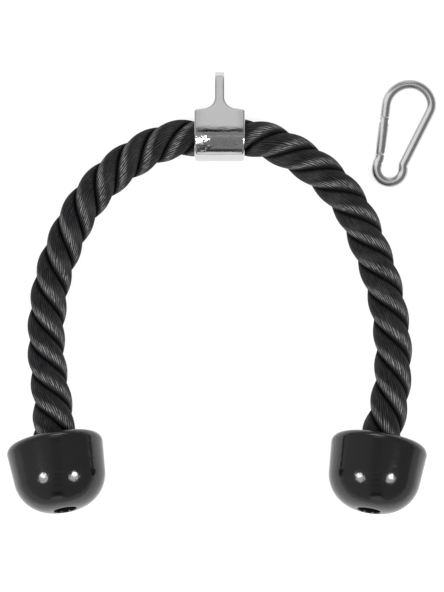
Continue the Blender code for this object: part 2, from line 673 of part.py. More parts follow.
def snap_hook(parts, cutters, root):
    """The loose hook that joins the eye to the machine, lying beside the rope."""
    location = (*HOOK_PLACE, hook_height)
    place = add_empty("hook_lift", parts, root, location, Matrix.Rotation(HOOK_TURN, 3, "Z"))
    hook_frame(parts, cutters, place)
    half = math.sqrt(gate_radius**2 - (RIVET_DIAMETER / 2) ** 2) - RIVET_RECESS
    rivet = cylinder("gate_rivet", RIVET_DIAMETER / 2, -half, half, parts, place)
    set_smooth(rivet.data)
    paint(rivet, "zinc_plate")
    gate_place = add_empty("gate_swing", parts, place)
    gate(parts, cutters, gate_place)
    plunger_place = add_empty("plunger_slide", parts, gate_place)
    gate_works(parts, gate_place, plunger_place)


def rest_on_floor(root, parts, cords):
    """Move the assembly so that its footprint's middle is the origin and its lowest point is at height 0."""
    bpy.context.view_layer.update()
    graph = bpy.context.evaluated_depsgraph_get()
    corners = []
    for obj in parts.objects:
        if obj.type == "EMPTY" or obj.name in cords:
            continue
        evaluated = obj.evaluated_get(graph)
        mesh = evaluated.to_mesh()
        corners += [evaluated.matrix_world @ vertex.co for vertex in mesh.vertices]
        evaluated.to_mesh_clear()
    corners = np.array(corners)
    low, high = corners.min(axis=0), corners.max(axis=0)
    root.location -= Vector(((low[0] + high[0]) / 2, (low[1] + high[1]) / 2, low[2]))
    bpy.context.view_layer.update()


def main():
    clear_scene()
    parts = new_collection("triceps_rope_attachment")
    cutters = new_collection("cutters")
    root = add_empty("assembly", parts)

    # The collar lies on one flank of its lug, which drops the eye towards the floor
    drop = math.asin((sleeve_radius - EYE_OUTER_RADIUS) / EYE_HEIGHT)
    lying = Matrix.Rotation(-drop, 3, "X")
    collar_place = add_empty("collar_place", parts, root, (0, 0, sleeve_radius), lying)
    eye_collar(parts, cutters, collar_place)
    core = turned(
        "rope_core",
        [(0, sleeve_half), (rope_radius, sleeve_half), (rope_radius, -sleeve_half), (0, -sleeve_half)],
        parts,
        collar_place,
        False,
        SMALL_TURNED_STEPS,
    )
    core.rotation_euler = Matrix.Rotation(math.pi / 2, 3, "Y").to_euler()
    paint(core, "black_rope")

    sides = (
        ("left", LEFT_ROUTE, LEFT_SWING_POINT, LEFT_BASE, LEFT_TURN),
        ("right", RIGHT_ROUTE, RIGHT_SWING_POINT, RIGHT_BASE, RIGHT_TURN),
    )
    for side, route, swing_index, base, turn in sides:
        rope_end(side, base, turn, route[swing_index], parts, root)
        free_rope(side, route, base, turn, parts, root)
    snap_hook(parts, cutters, root)
    rest_on_floor(root, parts, ("rope_left", "rope_right"))


main()
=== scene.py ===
"""The looks of the triceps rope attachment, built over its CAD model as a Blender add-on."""

import json
import math

import bmesh
import bpy
import numpy as np
from bpy.props import FloatProperty, IntProperty, PointerProperty, StringProperty
from mathutils import Matrix, Vector

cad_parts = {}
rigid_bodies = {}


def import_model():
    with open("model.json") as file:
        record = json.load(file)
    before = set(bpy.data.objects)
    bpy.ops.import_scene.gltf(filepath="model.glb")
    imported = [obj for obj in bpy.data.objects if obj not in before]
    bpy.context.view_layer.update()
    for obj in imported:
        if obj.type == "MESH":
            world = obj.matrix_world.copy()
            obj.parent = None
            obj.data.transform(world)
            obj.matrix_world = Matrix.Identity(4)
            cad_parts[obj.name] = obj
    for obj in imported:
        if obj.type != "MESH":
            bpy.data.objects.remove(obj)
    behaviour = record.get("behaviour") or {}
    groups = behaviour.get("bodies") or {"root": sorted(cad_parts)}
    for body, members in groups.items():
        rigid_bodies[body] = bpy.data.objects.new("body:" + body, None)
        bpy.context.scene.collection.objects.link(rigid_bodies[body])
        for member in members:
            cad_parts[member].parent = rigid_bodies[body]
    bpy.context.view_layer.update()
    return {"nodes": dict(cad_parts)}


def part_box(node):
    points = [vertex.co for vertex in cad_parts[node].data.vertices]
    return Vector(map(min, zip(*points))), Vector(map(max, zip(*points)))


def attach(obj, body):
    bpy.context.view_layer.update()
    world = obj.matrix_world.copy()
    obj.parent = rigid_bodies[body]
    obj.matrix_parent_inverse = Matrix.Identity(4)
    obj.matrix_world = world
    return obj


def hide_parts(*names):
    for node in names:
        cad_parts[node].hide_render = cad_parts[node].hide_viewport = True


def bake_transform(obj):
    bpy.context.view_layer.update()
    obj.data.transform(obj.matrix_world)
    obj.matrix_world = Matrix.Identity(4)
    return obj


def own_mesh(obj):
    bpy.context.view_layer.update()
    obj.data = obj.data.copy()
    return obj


bl_info = {
    "name": "Triceps rope attachment",
    "version": (1, 0, 0),
    "blender": (4, 5, 0),
    "location": "3D View > Sidebar > Rope attachment",
    "description": "Builds the laid rope, its collar, stoppers and snap hook, and the studio round them",
    "category": "Object",
}

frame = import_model()
PHOTO_SIZE = (444, 592)
# Play between two pieces, and how near two points are one
GAP, WELD = 0.0003, 0.000002
# Spacing of the points along the rope's route and along the hinge's neck
ROUTE_STEP, NECK_STEP = 0.003, 0.0008
# Edges with a sharper turn than the first stay sharp in the shading, and past the second a bevel rounds them
SHADE_ANGLE, BEVEL_ANGLE = math.radians(35.0), math.radians(50.0)
# Puts a plate's thickness along x
ALONG_X = Matrix(((0, 0, 1, 0), (0, 1, 0, 0), (-1, 0, 0, 0), (0, 0, 0, 1)))

# The rope's centreline from the sleeve to each stopper, across from the sleeve's middle and up from the
# floor. It follows the photo, and the left leg lies up to 2.8 mm beside the CAD's
ROUTES = {
    "left": (
        (-0.0297, -0.0009, 0.0179), (-0.0420, -0.0039, 0.0169), (-0.0560, -0.0102, 0.0155),
        (-0.0700, -0.0190, 0.0144), (-0.0840, -0.0302, 0.0139), (-0.0965, -0.0438, 0.0138),
        (-0.1075, -0.0606, 0.0138), (-0.1164, -0.0798, 0.0139), (-0.1234, -0.0986, 0.0145),
        (-0.1279, -0.1200, 0.0160), (-0.1299, -0.1428, 0.0182), (-0.1296, -0.1640, 0.0210),
        (-0.1273, -0.1830, 0.0241), (-0.1250, -0.2006, 0.0276), (-0.1240, -0.2140, 0.0306),
    ),
    "right": (
        (0.0305, -0.0014, 0.0179), (0.0430, -0.0056, 0.0168), (0.0565, -0.0125, 0.0154),
        (0.0705, -0.0216, 0.0144), (0.0840, -0.0334, 0.0139), (0.0952, -0.0464, 0.0138),
        (0.1040, -0.0609, 0.0138), (0.1118, -0.0794, 0.0139), (0.1186, -0.0974, 0.0145),
        (0.1240, -0.1160, 0.0158), (0.1277, -0.1348, 0.0174), (0.1298, -0.1535, 0.0196),
        (0.1300, -0.1715, 0.0222), (0.1286, -0.1885, 0.0251), (0.1261, -0.2030, 0.0280),
        (0.1231, -0.2155, 0.0309),
    ),
}
STOPPER_BASES = {"left": (-0.1149, -0.2783), "right": (0.1112, -0.2788)}
STOPPER_TURNS = {"left": math.radians(10.0), "right": math.radians(-9.7)}
HOOK_PIECES = ("snap_hook_wire", "gate_rivet_peened", "gate_turned", "gate_spring_coil", "spring_plunger")
# Where on the hook's lower bend the back leg comes in and the hinge's neck leaves it, and the stretch that
# is pressed thicker
BEND_ENTRY, NECK_ROOT = math.radians(4.0), math.radians(-184.0)
PRESSED_START, PRESSED_END = math.radians(10.0), math.radians(-200.0)
# The neck's course from there to the rivet, as shares of its root's place
NECK_SHARES = ((1, 1), (0.85, 0.74), (0.2, 0.53))
# How light the painted sheen along one side of a strand is, by the share of the way over it from crease to
# crease
PAINTED_SHEEN_SHARES = ((0.0, 0.0), (0.52, 0.0), (0.66, 0.7), (0.76, 1.0), (0.89, 0.0))
# Real lengths of the patterns: waves, ripples and hollows' edges in the chrome, clouds in the zinc, and
# waves in the stoppers' moulding
CHROME_WAVE, CHROME_RIPPLE, HOLLOW_EDGE = 0.0033333, 0.00125, 0.0026316
ZINC_CLOUD, MOULDING_WAVE = 0.0016667, 0.0038462
# The sleeve's rippled band, up from the sleeve's middle: where each of its edges starts and where it is full
RIPPLED_BAND = ((0.0002, -0.0016), (-0.0078, -0.0052))
# Two hollows under the chrome, near the collar's left end: middle from the sleeve's, reach, and how the
# surface leans in it
CHROME_HOLLOWS = (
    ((-0.016, -0.002), (0.0056, 0.0038), (-0.36, -0.06, 0.0)),
    ((-0.0126, -0.0074), (0.0062, 0.0024), (-0.03, -0.2, 0.0)),
)
# Where the hook's panel stands from the hook, as shares of its height over it
PANEL_SHARES = (-0.65, 0.38, 1.0)
# The room's greys by the sine of the angle from overhead: from the near side to the far side, from left
# to right, and how much the second counts
NEAR_TO_FAR = (
    (-1.0, 0.95), (-0.975, 0.9), (-0.96, 0.05), (-0.88, 0.06), (-0.84, 0.24), (-0.7, 0.3), (-0.6, 0.16),
    (-0.42, 0.3), (-0.3, 0.14), (-0.16, 0.34), (-0.06, 0.16), (0.05, 0.26), (0.1, 0.55), (0.14, 0.26),
    (0.38, 0.3), (0.385, 0.01), (0.44, 0.01), (0.455, 0.2), (0.545, 0.82), (1.0, 0.85),
)
LEFT_TO_RIGHT = ((-1.0, 0.5), (-0.3, 0.42), (0.2, 0.34), (1.0, 0.3))
SIDE_SHARES = ((-1.0, 1.0), (-0.28, 1.0), (-0.1, 0.0), (0.1, 0.0), (0.28, 1.0), (1.0, 1.0))


def length(name, description, default):
    return FloatProperty(name=name, description=description, default=default, unit="LENGTH", precision=5)


def angle(name, description, degrees):
    return FloatProperty(name=name, description=description, default=math.radians(degrees), subtype="ANGLE")


def number(name, description, default):
    return FloatProperty(name=name, description=description, default=default)


def whole(name, description, default):
    return IntProperty(name=name, description=description, default=default)


def fraction(name, description, default):
    return FloatProperty(name=name, description=description, default=default, subtype="FACTOR")


def colour(name, description, default):
    return StringProperty(name=name, description=description, default=default)


class RopeSizes(bpy.types.PropertyGroup):
    """The laid rope."""

    diameter: length("Diameter", "The rope's nominal diameter", 0.027)
    crown_diameter: length("Crown diameter", "Over the crowns of the strands", 0.0285)
    strands: whole("Strands", "Strands laid round each other", 3)
    left_lay: length("Left lay", "Length of one full turn of a strand in the left leg", 0.069)
    right_lay: length("Right lay", "The same in the right leg", 0.0728)
    strand_radius: length("Strand radius", "Round of a strand's outer face", 0.0099)
    seam_depth: length("Seam depth", "How much deeper the crease between two strands is", 0.0024)
    seam_width: length("Seam width", "Width of that crease", 0.0015)
    section_points: whole("Section points", "Points round the rope", 168)
    step: length("Step", "Distance between sections", 0.0011)
    inside: length("Inside", "How far a leg runs into the sleeve and the stoppers", 0.003)
    left_phase: angle("Left phase", "Where the left leg's strands start", 76.0)
    right_phase: angle("Right phase", "Where the right leg's strands start", 43.0)
    yarn: length("Yarn width", "Width of one yarn on a strand's face", 0.0016)
    yarn_length: length("Yarn length", "Length of a yarn that shows before it goes under", 0.03)
    yarn_relief: length("Yarn relief", "How far the yarns stand out", 0.00012)
    left_swell: number("Left swell", "How much thicker the left leg is at its stopper", 0.17)
    right_swell: number("Right swell", "The same for the right leg", 0.08)
    swell_length: length("Swell length", "How far that reaches up the leg", 0.032)
    yarn_turn: fraction("Yarn turn", "How much of the strands' turn the yarns keep", 0.25)
    yarn_wander: number("Yarn wander", "How far the yarns wander, in radians of their own waves", 11.0)
    yarn_shift: length("Yarn shift", "How far each strand's yarns are shifted from the last one's", 0.37)
    shade_depth: length("Shade depth", "How far below the strands' crowns it is dark", 0.004)
    bending: length("Bending", "How much of a leg bends on either side of its swing's axis", 0.09)


class CollarSizes(bpy.types.PropertyGroup):
    """The forged collar with its eye."""

    sleeve_length: length("Sleeve length", "Between the sleeve's two mouths", 0.0378)
    sleeve_diameter: length("Sleeve diameter", "Outside of the sleeve", 0.0364)
    end_round: length("End round", "Round of the sleeve's rims on the side away from the lug", 0.003)
    mouth_round: length("Mouth round", "Round of the bore's mouths", 0.0008)
    shoulder_rise: length("Shoulder rise", "How far the shoulders' ends stand above the sleeve", 0.0004)
    shoulder_slope: angle("Shoulder slope", "How the shoulders fall off towards the sleeve's ends", 9.0)
    shoulder_round: length("Shoulder round", "Round of the shoulders' corners", 0.002)
    flare_radius: length("Flare radius", "Hollow between lug and shoulder", 0.0085)
    lug_thickness: length("Lug thickness", "Thickness of the lug", 0.0073)
    eye_height: length("Eye height", "From the sleeve's axis to the eye's", 0.037)
    eye_radius: length("Eye radius", "Outer radius of the eye", 0.013)
    eye_hole: length("Eye hole", "Diameter of the eye", 0.015)
    eye_round: length("Eye round", "Round of the eye's rim", 0.001)
    edge_round: length("Edge round", "Round of all the other edges", 0.0012)
    crown_radius: length("Crown radius", "Slow round where the flat cheek runs into the sleeve", 0.06)
    crown_angle: angle("Crown angle", "How much of the turn the slow round takes", 5.7)


class StopperSizes(bpy.types.PropertyGroup):
    """The moulded stoppers and what holds them."""

    height: length("Height", "From the base to the rope's mouth", 0.054)
    radius: length("Radius", "At the rim", 0.0361)
    rim_round: length("Rim round", "Round of the rim", 0.0064)
    dome_radius: length("Dome radius", "Round of the domed base", 0.0272)
    taper: angle("Taper", "Taper of the side", 4.7)
    lip_round: length("Lip round", "Round of the base hole's lip", 0.0009)
    mouth_round: length("Mouth round", "Round of the rope's mouth", 0.0015)
    hole: length("Base hole", "Diameter of the hole in the base", 0.0172)
    hole_depth: length("Hole depth", "Depth of the base hole", 0.011)
    web: length("Web", "Thickness between the hole and the rope", 0.006)
    tilt: angle("Tilt", "How far the base is tilted up off the floor", 14.0)
    screw: length("Screw shank", "Diameter of the end screw", 0.0045)
    screw_bite: length("Screw bite", "How deep the screw goes into the rope", 0.019)
    head: length("Screw head", "Diameter of the screw's head", 0.0095)
    head_height: length("Head height", "Height of the screw's head", 0.0032)
    head_flank: fraction("Head flank", "Share of the head's height that its side takes", 0.45)
    screw_point: fraction("Screw point", "Share of the screw's length where its point starts", 0.9)
    washer_thickness: length("Washer", "Thickness of the washer", 0.0016)
    washer_edge: length("Washer edge", "Chamfer of the washer's lower edge", 0.00032)
    recess: length("Recess", "Span of the cross recess in the screw's head", 0.0052)
    recess_width: length("Recess width", "Width of each slot of the recess", 0.0011)
    recess_depth: fraction("Recess depth", "Depth of the recess as a share of the head's height", 0.55)


class HookSizes(bpy.types.PropertyGroup):
    """The snap hook, in its own plane: x inwards from the gate, y along the gate from the rivet."""

    turn: angle("Turn", "How the hook is turned on the floor", -7.2)
    wire: length("Wire", "Diameter of the wire", 0.0068)
    bend_wire: length("Bend wire", "Thickness of the pressed lower bend", 0.0073)
    gate: length("Gate", "Diameter of the gate", 0.0074)
    gate_length: length("Gate length", "From the rivet to the gate's tip", 0.0263)
    gate_tail: length("Gate tail", "From the rivet to the gate's heel", 0.00185)
    opening: angle("Opening", "How far the gate opens", 35.0)
    nose_gap: length("Nose gap", "Joint between the gate and the nose", 0.0006)
    edge_round: length("Edge round", "Round of the gate's edges", 0.00035)
    tab: length("Tab", "Thickness of the hinge tab", 0.0026)
    tab_height: length("Tab height", "From the rivet up to the tab's end", 0.0024)
    tab_inner: length("Tab inner side", "From the rivet inwards to the tab's side", 0.0029)
    tab_outer: length("Tab outer side", "From the rivet outwards to its other side", 0.0023)
    tab_inner_round: length("Tab inner round", "Round of the tab's inner corner", 0.0005)
    tab_outer_round: length("Tab outer round", "Round of its outer corner", 0.0015)
    tab_root: length("Tab root", "From the rivet down to the tab's root", 0.0035)
    rivet: length("Rivet", "Diameter of the rivet", 0.002)
    spring_wire: length("Spring wire", "Diameter of the spring's wire", 0.0005)
    spring_radius: length("Spring radius", "From the spring's middle to the middle of its wire", 0.00135)
    spring_start: length("Spring start", "From the rivet to the spring's lower end", 0.008)
    spring_end: length("Spring end", "From the rivet to the spring's upper end", 0.0172)
    spring_turns: whole("Spring turns", "Turns of the spring", 7)
    plunger_travel: length("Plunger travel", "How far the plunger moves as the gate opens", 0.00125)
    rivet_inset: length("Rivet inset", "How far the rivet's ends stay inside the gate", 0.0001)
    shoulder_height: length("Shoulder height", "From the rivet up to the shoulder's centre", 0.0355)
    shoulder_radius: length("Shoulder radius", "Round from the gate's side up to the crown", 0.018)
    crown_radius: length("Crown radius", "Round of the crown", 0.0166)
    back_radius: length("Back radius", "Round from the crown down to the back leg", 0.0125)
    crown_start: angle("Crown start", "Where the crown's round starts", 100.0)
    back_start: angle("Back start", "Where the back's round starts", 27.0)
    leg_lean: angle("Leg lean", "How far the back leg leans", 19.6)
    leg_foot: length("Leg foot", "From the rivet down to the leg's foot", 0.0062)
    kink_length: length("Kink length", "Length of the kink below the foot", 0.0016)
    kink_width: length("Kink width", "How far that kink leads the wire away from the gate", 0.0001)
    neck_top: length("Neck top", "From the rivet down to the end of the hinge's neck", 0.0022)
    bend_x: length("Bend across", "From the rivet inwards to the middle of the lower bend", 0.00865)
    bend_y: length("Bend down", "From the rivet down to that middle", 0.0118)
    bend_radius: length("Bend radius", "Round of the lower bend", 0.01)
    nose_stem: length("Nose stem", "Width of the nose's stem", 0.0024)
    nose_head: length("Nose head", "Width of the nose's head", 0.0044)
    nose_depth: length("Nose depth", "How far the nose reaches into the gate", 0.0043)
    nose_step: length("Nose step", "How far its stem reaches", 0.0025)
    nose_thickness: length("Nose thickness", "Thickness of the nose", 0.0048)
    nose_play: length("Nose play", "Room under the nose in the gate's slot", 0.00065)
    slot_end: length("Slot end", "From the rivet to the end of the hinge slot", 0.00406)
    bore: length("Bore", "Diameter of the gate's bore", 0.0038)
    bore_start: length("Bore start", "From the rivet to the bore's mouth", 0.0024)
    bore_end: length("Bore end", "From the rivet to the bore's bottom", 0.0175)


class Colours(bpy.types.PropertyGroup):
    """Colours as sRGB hex values."""

    chrome: colour("Chrome", "Plate on the collar", "#cfcfd0")
    zinc: colour("Zinc", "Plate on the hook, washers and screws", "#bababa")
    nylon: colour("Nylon", "The rope's yarns", "#323234")
    # Painted sheen: this lighter nylon stands in for the highlight on one side of each strand
    nylon_painted_sheen: colour("Light nylon", "The rope's yarns where they are rubbed", "#8b8b8c")
    # Painted shade: this darkest nylon stands in for the shade in the creases and between the yarns
    nylon_painted_shade: colour("Dark nylon", "Between the yarns and in the creases", "#040405")
    moulding: colour("Moulding", "The stoppers", "#121213")
    floor: colour("Floor", "The studio's floor, which also glows", "#808080")


class StudioSizes(bpy.types.PropertyGroup):
    """Camera and lights."""

    scale: length("Scale", "Real length of one photo pixel", 0.00075)
    distance: length("Distance", "From the camera to the middle of the object's height", 4.0)
    level: length("Level", "Height at which the scale holds", 0.018)
    photo_x: number("Photo X", "Photo column of the sleeve's middle", 219.6)
    photo_y: number("Photo Y", "Photo row of the sleeve's middle", 137.4)
    sensor: number("Sensor", "Camera sensor in millimetres", 36.0)
    box_distance: length("Soft box distance", "From the object to each soft box", 4.0)
    box_angle: angle("Soft box angle", "Angle of each soft box from overhead", 39.0)
    box_lean: angle("Soft box lean", "How far the soft boxes lean to the near side", 9.0)
    box_size: length("Soft box size", "Width of each soft box", 1.9)
    box_shape: number("Soft box shape", "Its height as a share of its width", 0.85)
    box_shift: length("Soft box shift", "How far its middle lies on the near side of its bulb", 0.45)
    box_power: number("Soft box power", "Power of each soft box in watts", 58.0)
    bulb_size: length("Bulb size", "Width of the bright middle of each soft box", 0.85)
    bulb_place: fraction("Bulb place", "Its distance as a share of the soft box's", 0.97)
    bulb_power: number("Bulb power", "Power of each bright middle in watts", 44.0)
    panel_distance: length("Panel distance", "Height of the hook's own panel over it", 0.5)
    panel_size: length("Panel size", "Shorter side of that panel", 0.32)
    panel_shape: number("Panel shape", "Its longer side as a multiple of that", 4.0)
    panel_power: number("Panel power", "Power of that panel in watts", 1.35)
    strip_rise: angle("Strip rise", "Angle of the far strip over the floor", 20.0)
    strip_size: length("Strip size", "Height of that strip", 0.3)
    strip_shape: number("Strip shape", "Its width as a multiple of that", 8.0)
    strip_power: number("Strip power", "Power of that strip in watts", 18.0)
    floor: length("Floor", "Width of the floor", 12.0)
    pool_width: length("Pool width", "Half of the width of the pool of light on the floor", 0.235)
    pool_depth: length("Pool depth", "Half of its depth from the near to the far side", 0.31)
    pool_fade: number("Pool fade", "Where it has faded out, as a multiple of these", 1.4)
    pool_glow: number("Pool glow", "Glow of the floor in the pool", 0.85)
    far_glow: number("Far glow", "Glow of the floor beyond it", 0.35)


def linear(text):
    """A hex sRGB colour as linear RGBA."""
    parts = [int(text[i : i + 2], 16) / 255 for i in (1, 3, 5)]
    return (*[c / 12.92 if c <= 0.04045 else ((c + 0.055) / 1.055) ** 2.4 for c in parts], 1.0)


def add_node(tree, kind, options=None, inputs=None):
    """Add a node with its options, and set or link its inputs. A node as a value is its first output."""
    node = tree.nodes.new(kind)
    for name, value in (options or {}).items():
        setattr(node, name, value)
    for key, value in (inputs or {}).items():
        if isinstance(value, bpy.types.Node):
            value = value.outputs[0]
        if isinstance(value, bpy.types.NodeSocket):
            tree.links.new(value, node.inputs[key])
        else:
            node.inputs[key].default_value = value
    return node


def drawn(name, points, closed=False, **shape):
    """A curve of straight stretches through the points, as an object."""
    curve = bpy.data.curves.new(name, "CURVE")
    curve.dimensions = "3D"
    for key, value in shape.items():
        setattr(curve, key, value)
    spline = curve.splines.new("POLY")
    spline.points.add(len(points) - 1)
    for target, (x, y, *z) in zip(spline.points, points):
        target.co = (x, y, *(z or (0,)), 1)
    spline.use_cyclic_u = closed
    return new_object(name, curve)


def new_material(name, base, roughness, metallic=0.0, more=None):
    """A material with its Principled shader, whose plain values are set on the shader itself."""
    material = bpy.data.materials.new(name)
    material.use_nodes = True
    shader = material.node_tree.nodes["Principled BSDF"]
    shader.inputs["Base Color"].default_value = base
    shader.inputs["Roughness"].default_value = roughness
    shader.inputs["Metallic"].default_value = metallic
    for key, value in (more or {}).items():
        shader.inputs[key].default_value = value
    return material, material.node_tree, shader


def new_object(name, data):
    obj = bpy.data.objects.new(name, data)
    bpy.context.scene.collection.objects.link(obj)
    return obj


def baked(obj, place=None, name=None):
    """The evaluated object as a plain mesh at the origin, with its place in its mesh. The old object goes."""
    bpy.context.view_layer.update()
    evaluated = obj.evaluated_get(bpy.context.evaluated_depsgraph_get())
    mesh = bpy.data.meshes.new_from_object(evaluated)
    shape = bmesh.new()
    shape.from_mesh(mesh)
    bmesh.ops.remove_doubles(shape, verts=shape.verts, dist=WELD)
    bmesh.ops.recalc_face_normals(shape, faces=shape.faces)
    if place is not None:
        shape.transform(place)
    shape.to_mesh(mesh)
    shape.free()
    name = name or obj.name
    bpy.data.objects.remove(obj)
    plain = new_object(name, mesh)
    plain.name = name
    return plain


def smooth(obj):
    obj.data.shade_smooth()
    obj.data.set_sharp_from_angle(angle=SHADE_ANGLE)


def arc(centre, radius, start, end, step=math.radians(4.0)):
    """Points on a round arc, both ends included."""
    count = max(2, math.ceil(abs(end - start) / step) + 1)
    turns = np.linspace(start, end, count)
    return [(centre[0] + radius * math.cos(a), centre[1] + radius * math.sin(a)) for a in turns]


def turned(name, profile, closed=True, steps=128):
    """A profile of (radius, height) turned about z. It runs down its outer side."""
    mesh = bpy.data.meshes.new(name)
    corners = [(radius, 0, height) for radius, height in profile]
    edges = [(i, i + 1) for i in range(len(corners) - 1)]
    if closed:
        edges.append((len(corners) - 1, 0))
    mesh.from_pydata(corners, edges, [])
    obj = new_object(name, mesh)
    screw = obj.modifiers.new("turn", "SCREW")
    screw.axis = "Z"
    screw.angle = 2 * math.pi
    screw.steps = screw.render_steps = steps
    screw.use_merge_vertices = True
    screw.merge_threshold = WELD
    return obj


def plate(name, outline, thickness):
    """A flat outline in the xy plane with half of its thickness on either side."""
    return drawn(name, outline, True, dimensions="2D", fill_mode="BOTH", extrude=thickness / 2)


def tube(name, points, radius, resolution=10):
    """A round tube with filled ends along the points."""
    return drawn(name, points, bevel_depth=radius, bevel_resolution=resolution, use_fill_caps=True)


def worked(name, shape, turn):
    """The worked mesh as an object, turned if need be."""
    if turn is not None:
        shape.transform(turn)
    mesh = bpy.data.meshes.new(name)
    shape.to_mesh(mesh)
    shape.free()
    return new_object(name, mesh)


def rod(name, radius, start, end, turn=None, steps=64):
    """A round bar along z, or along another axis by the turn."""
    shape = bmesh.new()
    size = {"radius1": radius, "radius2": radius, "depth": end - start}
    middle = Matrix.Translation((0, 0, (start + end) / 2))
    bmesh.ops.create_cone(shape, cap_ends=True, segments=steps, matrix=middle, **size)
    return worked(name, shape, turn)


def block(name, low, high, turn=None):
    """A box between two corners."""
    low, high = Vector(low), Vector(high)
    shape = bmesh.new()
    size = Matrix.Diagonal((*(high - low), 1))
    bmesh.ops.create_cube(shape, size=1, matrix=Matrix.Translation((low + high) / 2) @ size)
    return worked(name, shape, turn)


def combine(target, helpers, operation):
    """Cut, join or trim the target by each helper, and take the helpers away."""
    for helper in helpers:
        modifier = target.modifiers.new("combine", "BOOLEAN")
        modifier.operation = operation
        modifier.solver = "EXACT"
        modifier.object = helper
    plain = baked(target)
    for helper in helpers:
        bpy.data.objects.remove(helper)
    return plain


def rounded(obj, width, segments, limit=BEVEL_ANGLE):
    """Round the sharp edges. Without a limit, the edges' own weights say how much."""
    bevel = obj.modifiers.new("round", "BEVEL")
    bevel.width = width
    bevel.segments = segments
    bevel.limit_method = "WEIGHT" if limit is None else "ANGLE"
    bevel.angle_limit = limit or 0.0
    return baked(obj)


def smooth_curve(route, start_direction, end_direction, spacing):
    """Evenly spaced points on the cubic spline through the route, with its direction set at both ends."""
    points = np.array(route, float)
    chords = np.linalg.norm(np.diff(points, axis=0), axis=1)
    last = len(points) - 1
    matrix = np.zeros((last + 1, last + 1))
    right = np.zeros_like(points)
    matrix[0, 0] = matrix[last, last] = 1
    right[0] = Vector(start_direction).normalized()
    right[last] = Vector(end_direction).normalized()
    for i in range(1, last):
        before, after = chords[i - 1], chords[i]
        matrix[i, i - 1 : i + 2] = after, 2 * (before + after), before
        rise = after * (points[i] - points[i - 1]) / before + before * (points[i + 1] - points[i]) / after
        right[i] = 3 * rise
    slopes = np.linalg.solve(matrix, right)
    fine = [points[0]]
    for i, chord in enumerate(chords):
        for t in np.linspace(0, 1, 41)[1:]:
            start = (1 + 2 * t) * (1 - t) ** 2 * points[i] + t * (1 - t) ** 2 * chord * slopes[i]
            end = t**2 * (3 - 2 * t) * points[i + 1] + t**2 * (t - 1) * chord * slopes[i + 1]
            fine.append(start + end)
    fine = np.array(fine)
    along = np.concatenate([[0], np.cumsum(np.linalg.norm(np.diff(fine, axis=0), axis=1))])
    count = max(3, round(along[-1] / spacing) + 1)
    places = np.linspace(0, along[-1], count)
    return np.column_stack([np.interp(places, along, fine[:, axis]) for axis in range(3)])


def settings():
    return bpy.context.scene.rope_attachment


def sleeve_middle():
    """The middle of the sleeve's bore, from the CAD collar's box."""
    low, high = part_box("eye_collar")
    radius = settings().collar.sleeve_diameter / 2
    return Vector(((low[0] + high[0]) / 2, low[1] + radius, low[2] + radius))


def collar_place():
    """The collar lies on the flank of its lug."""
    sizes = settings().collar
    drop = math.asin((sizes.sleeve_diameter / 2 - sizes.eye_radius) / sizes.eye_height)
    return Matrix.Translation(sleeve_middle()) @ Matrix.Rotation(-drop, 4, "X")


def stopper_place(side):
    """The stopper's place: z runs from the middle of its base up to the rope's mouth."""
    sizes = settings().stopper
    upright = Matrix(((0, -1, 0, 0), (0, 0, 1, 0), (-1, 0, 0, 0), (0, 0, 0, 1)))
    turn = Matrix.Rotation(STOPPER_TURNS[side], 4, "Z") @ Matrix.Rotation(-sizes.tilt, 4, "X") @ upright
    rim = sizes.height - sizes.rim_round
    rim_height = (sizes.radius - sizes.rim_round) * math.cos(sizes.tilt) + sizes.rim_round
    middle = sleeve_middle()
    x, y = STOPPER_BASES[side]
    place = (middle.x + x, middle.y + y, rim_height + rim * math.sin(sizes.tilt))
    return Matrix.Translation(place) @ turn


def hook_place():
    """The middle of the gate's rivet, with y along the gate."""
    low, high = (Vector(corner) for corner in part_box("gate_rivet"))
    return Matrix.Translation((low + high) / 2) @ Matrix.Rotation(settings().hook.turn, 4, "Z")


def set_greys(ramp, stops, interpolation="LINEAR"):
    """Set the plain greys of a ramp and the places where they stand."""
    ramp.interpolation = interpolation
    ramp.elements.remove(ramp.elements[1])
    for index, (place, grey) in enumerate(stops):
        stop = ramp.elements[0] if index == 0 else ramp.elements.new(place)
        stop.position = place
        stop.color = (grey, grey, grey, 1)


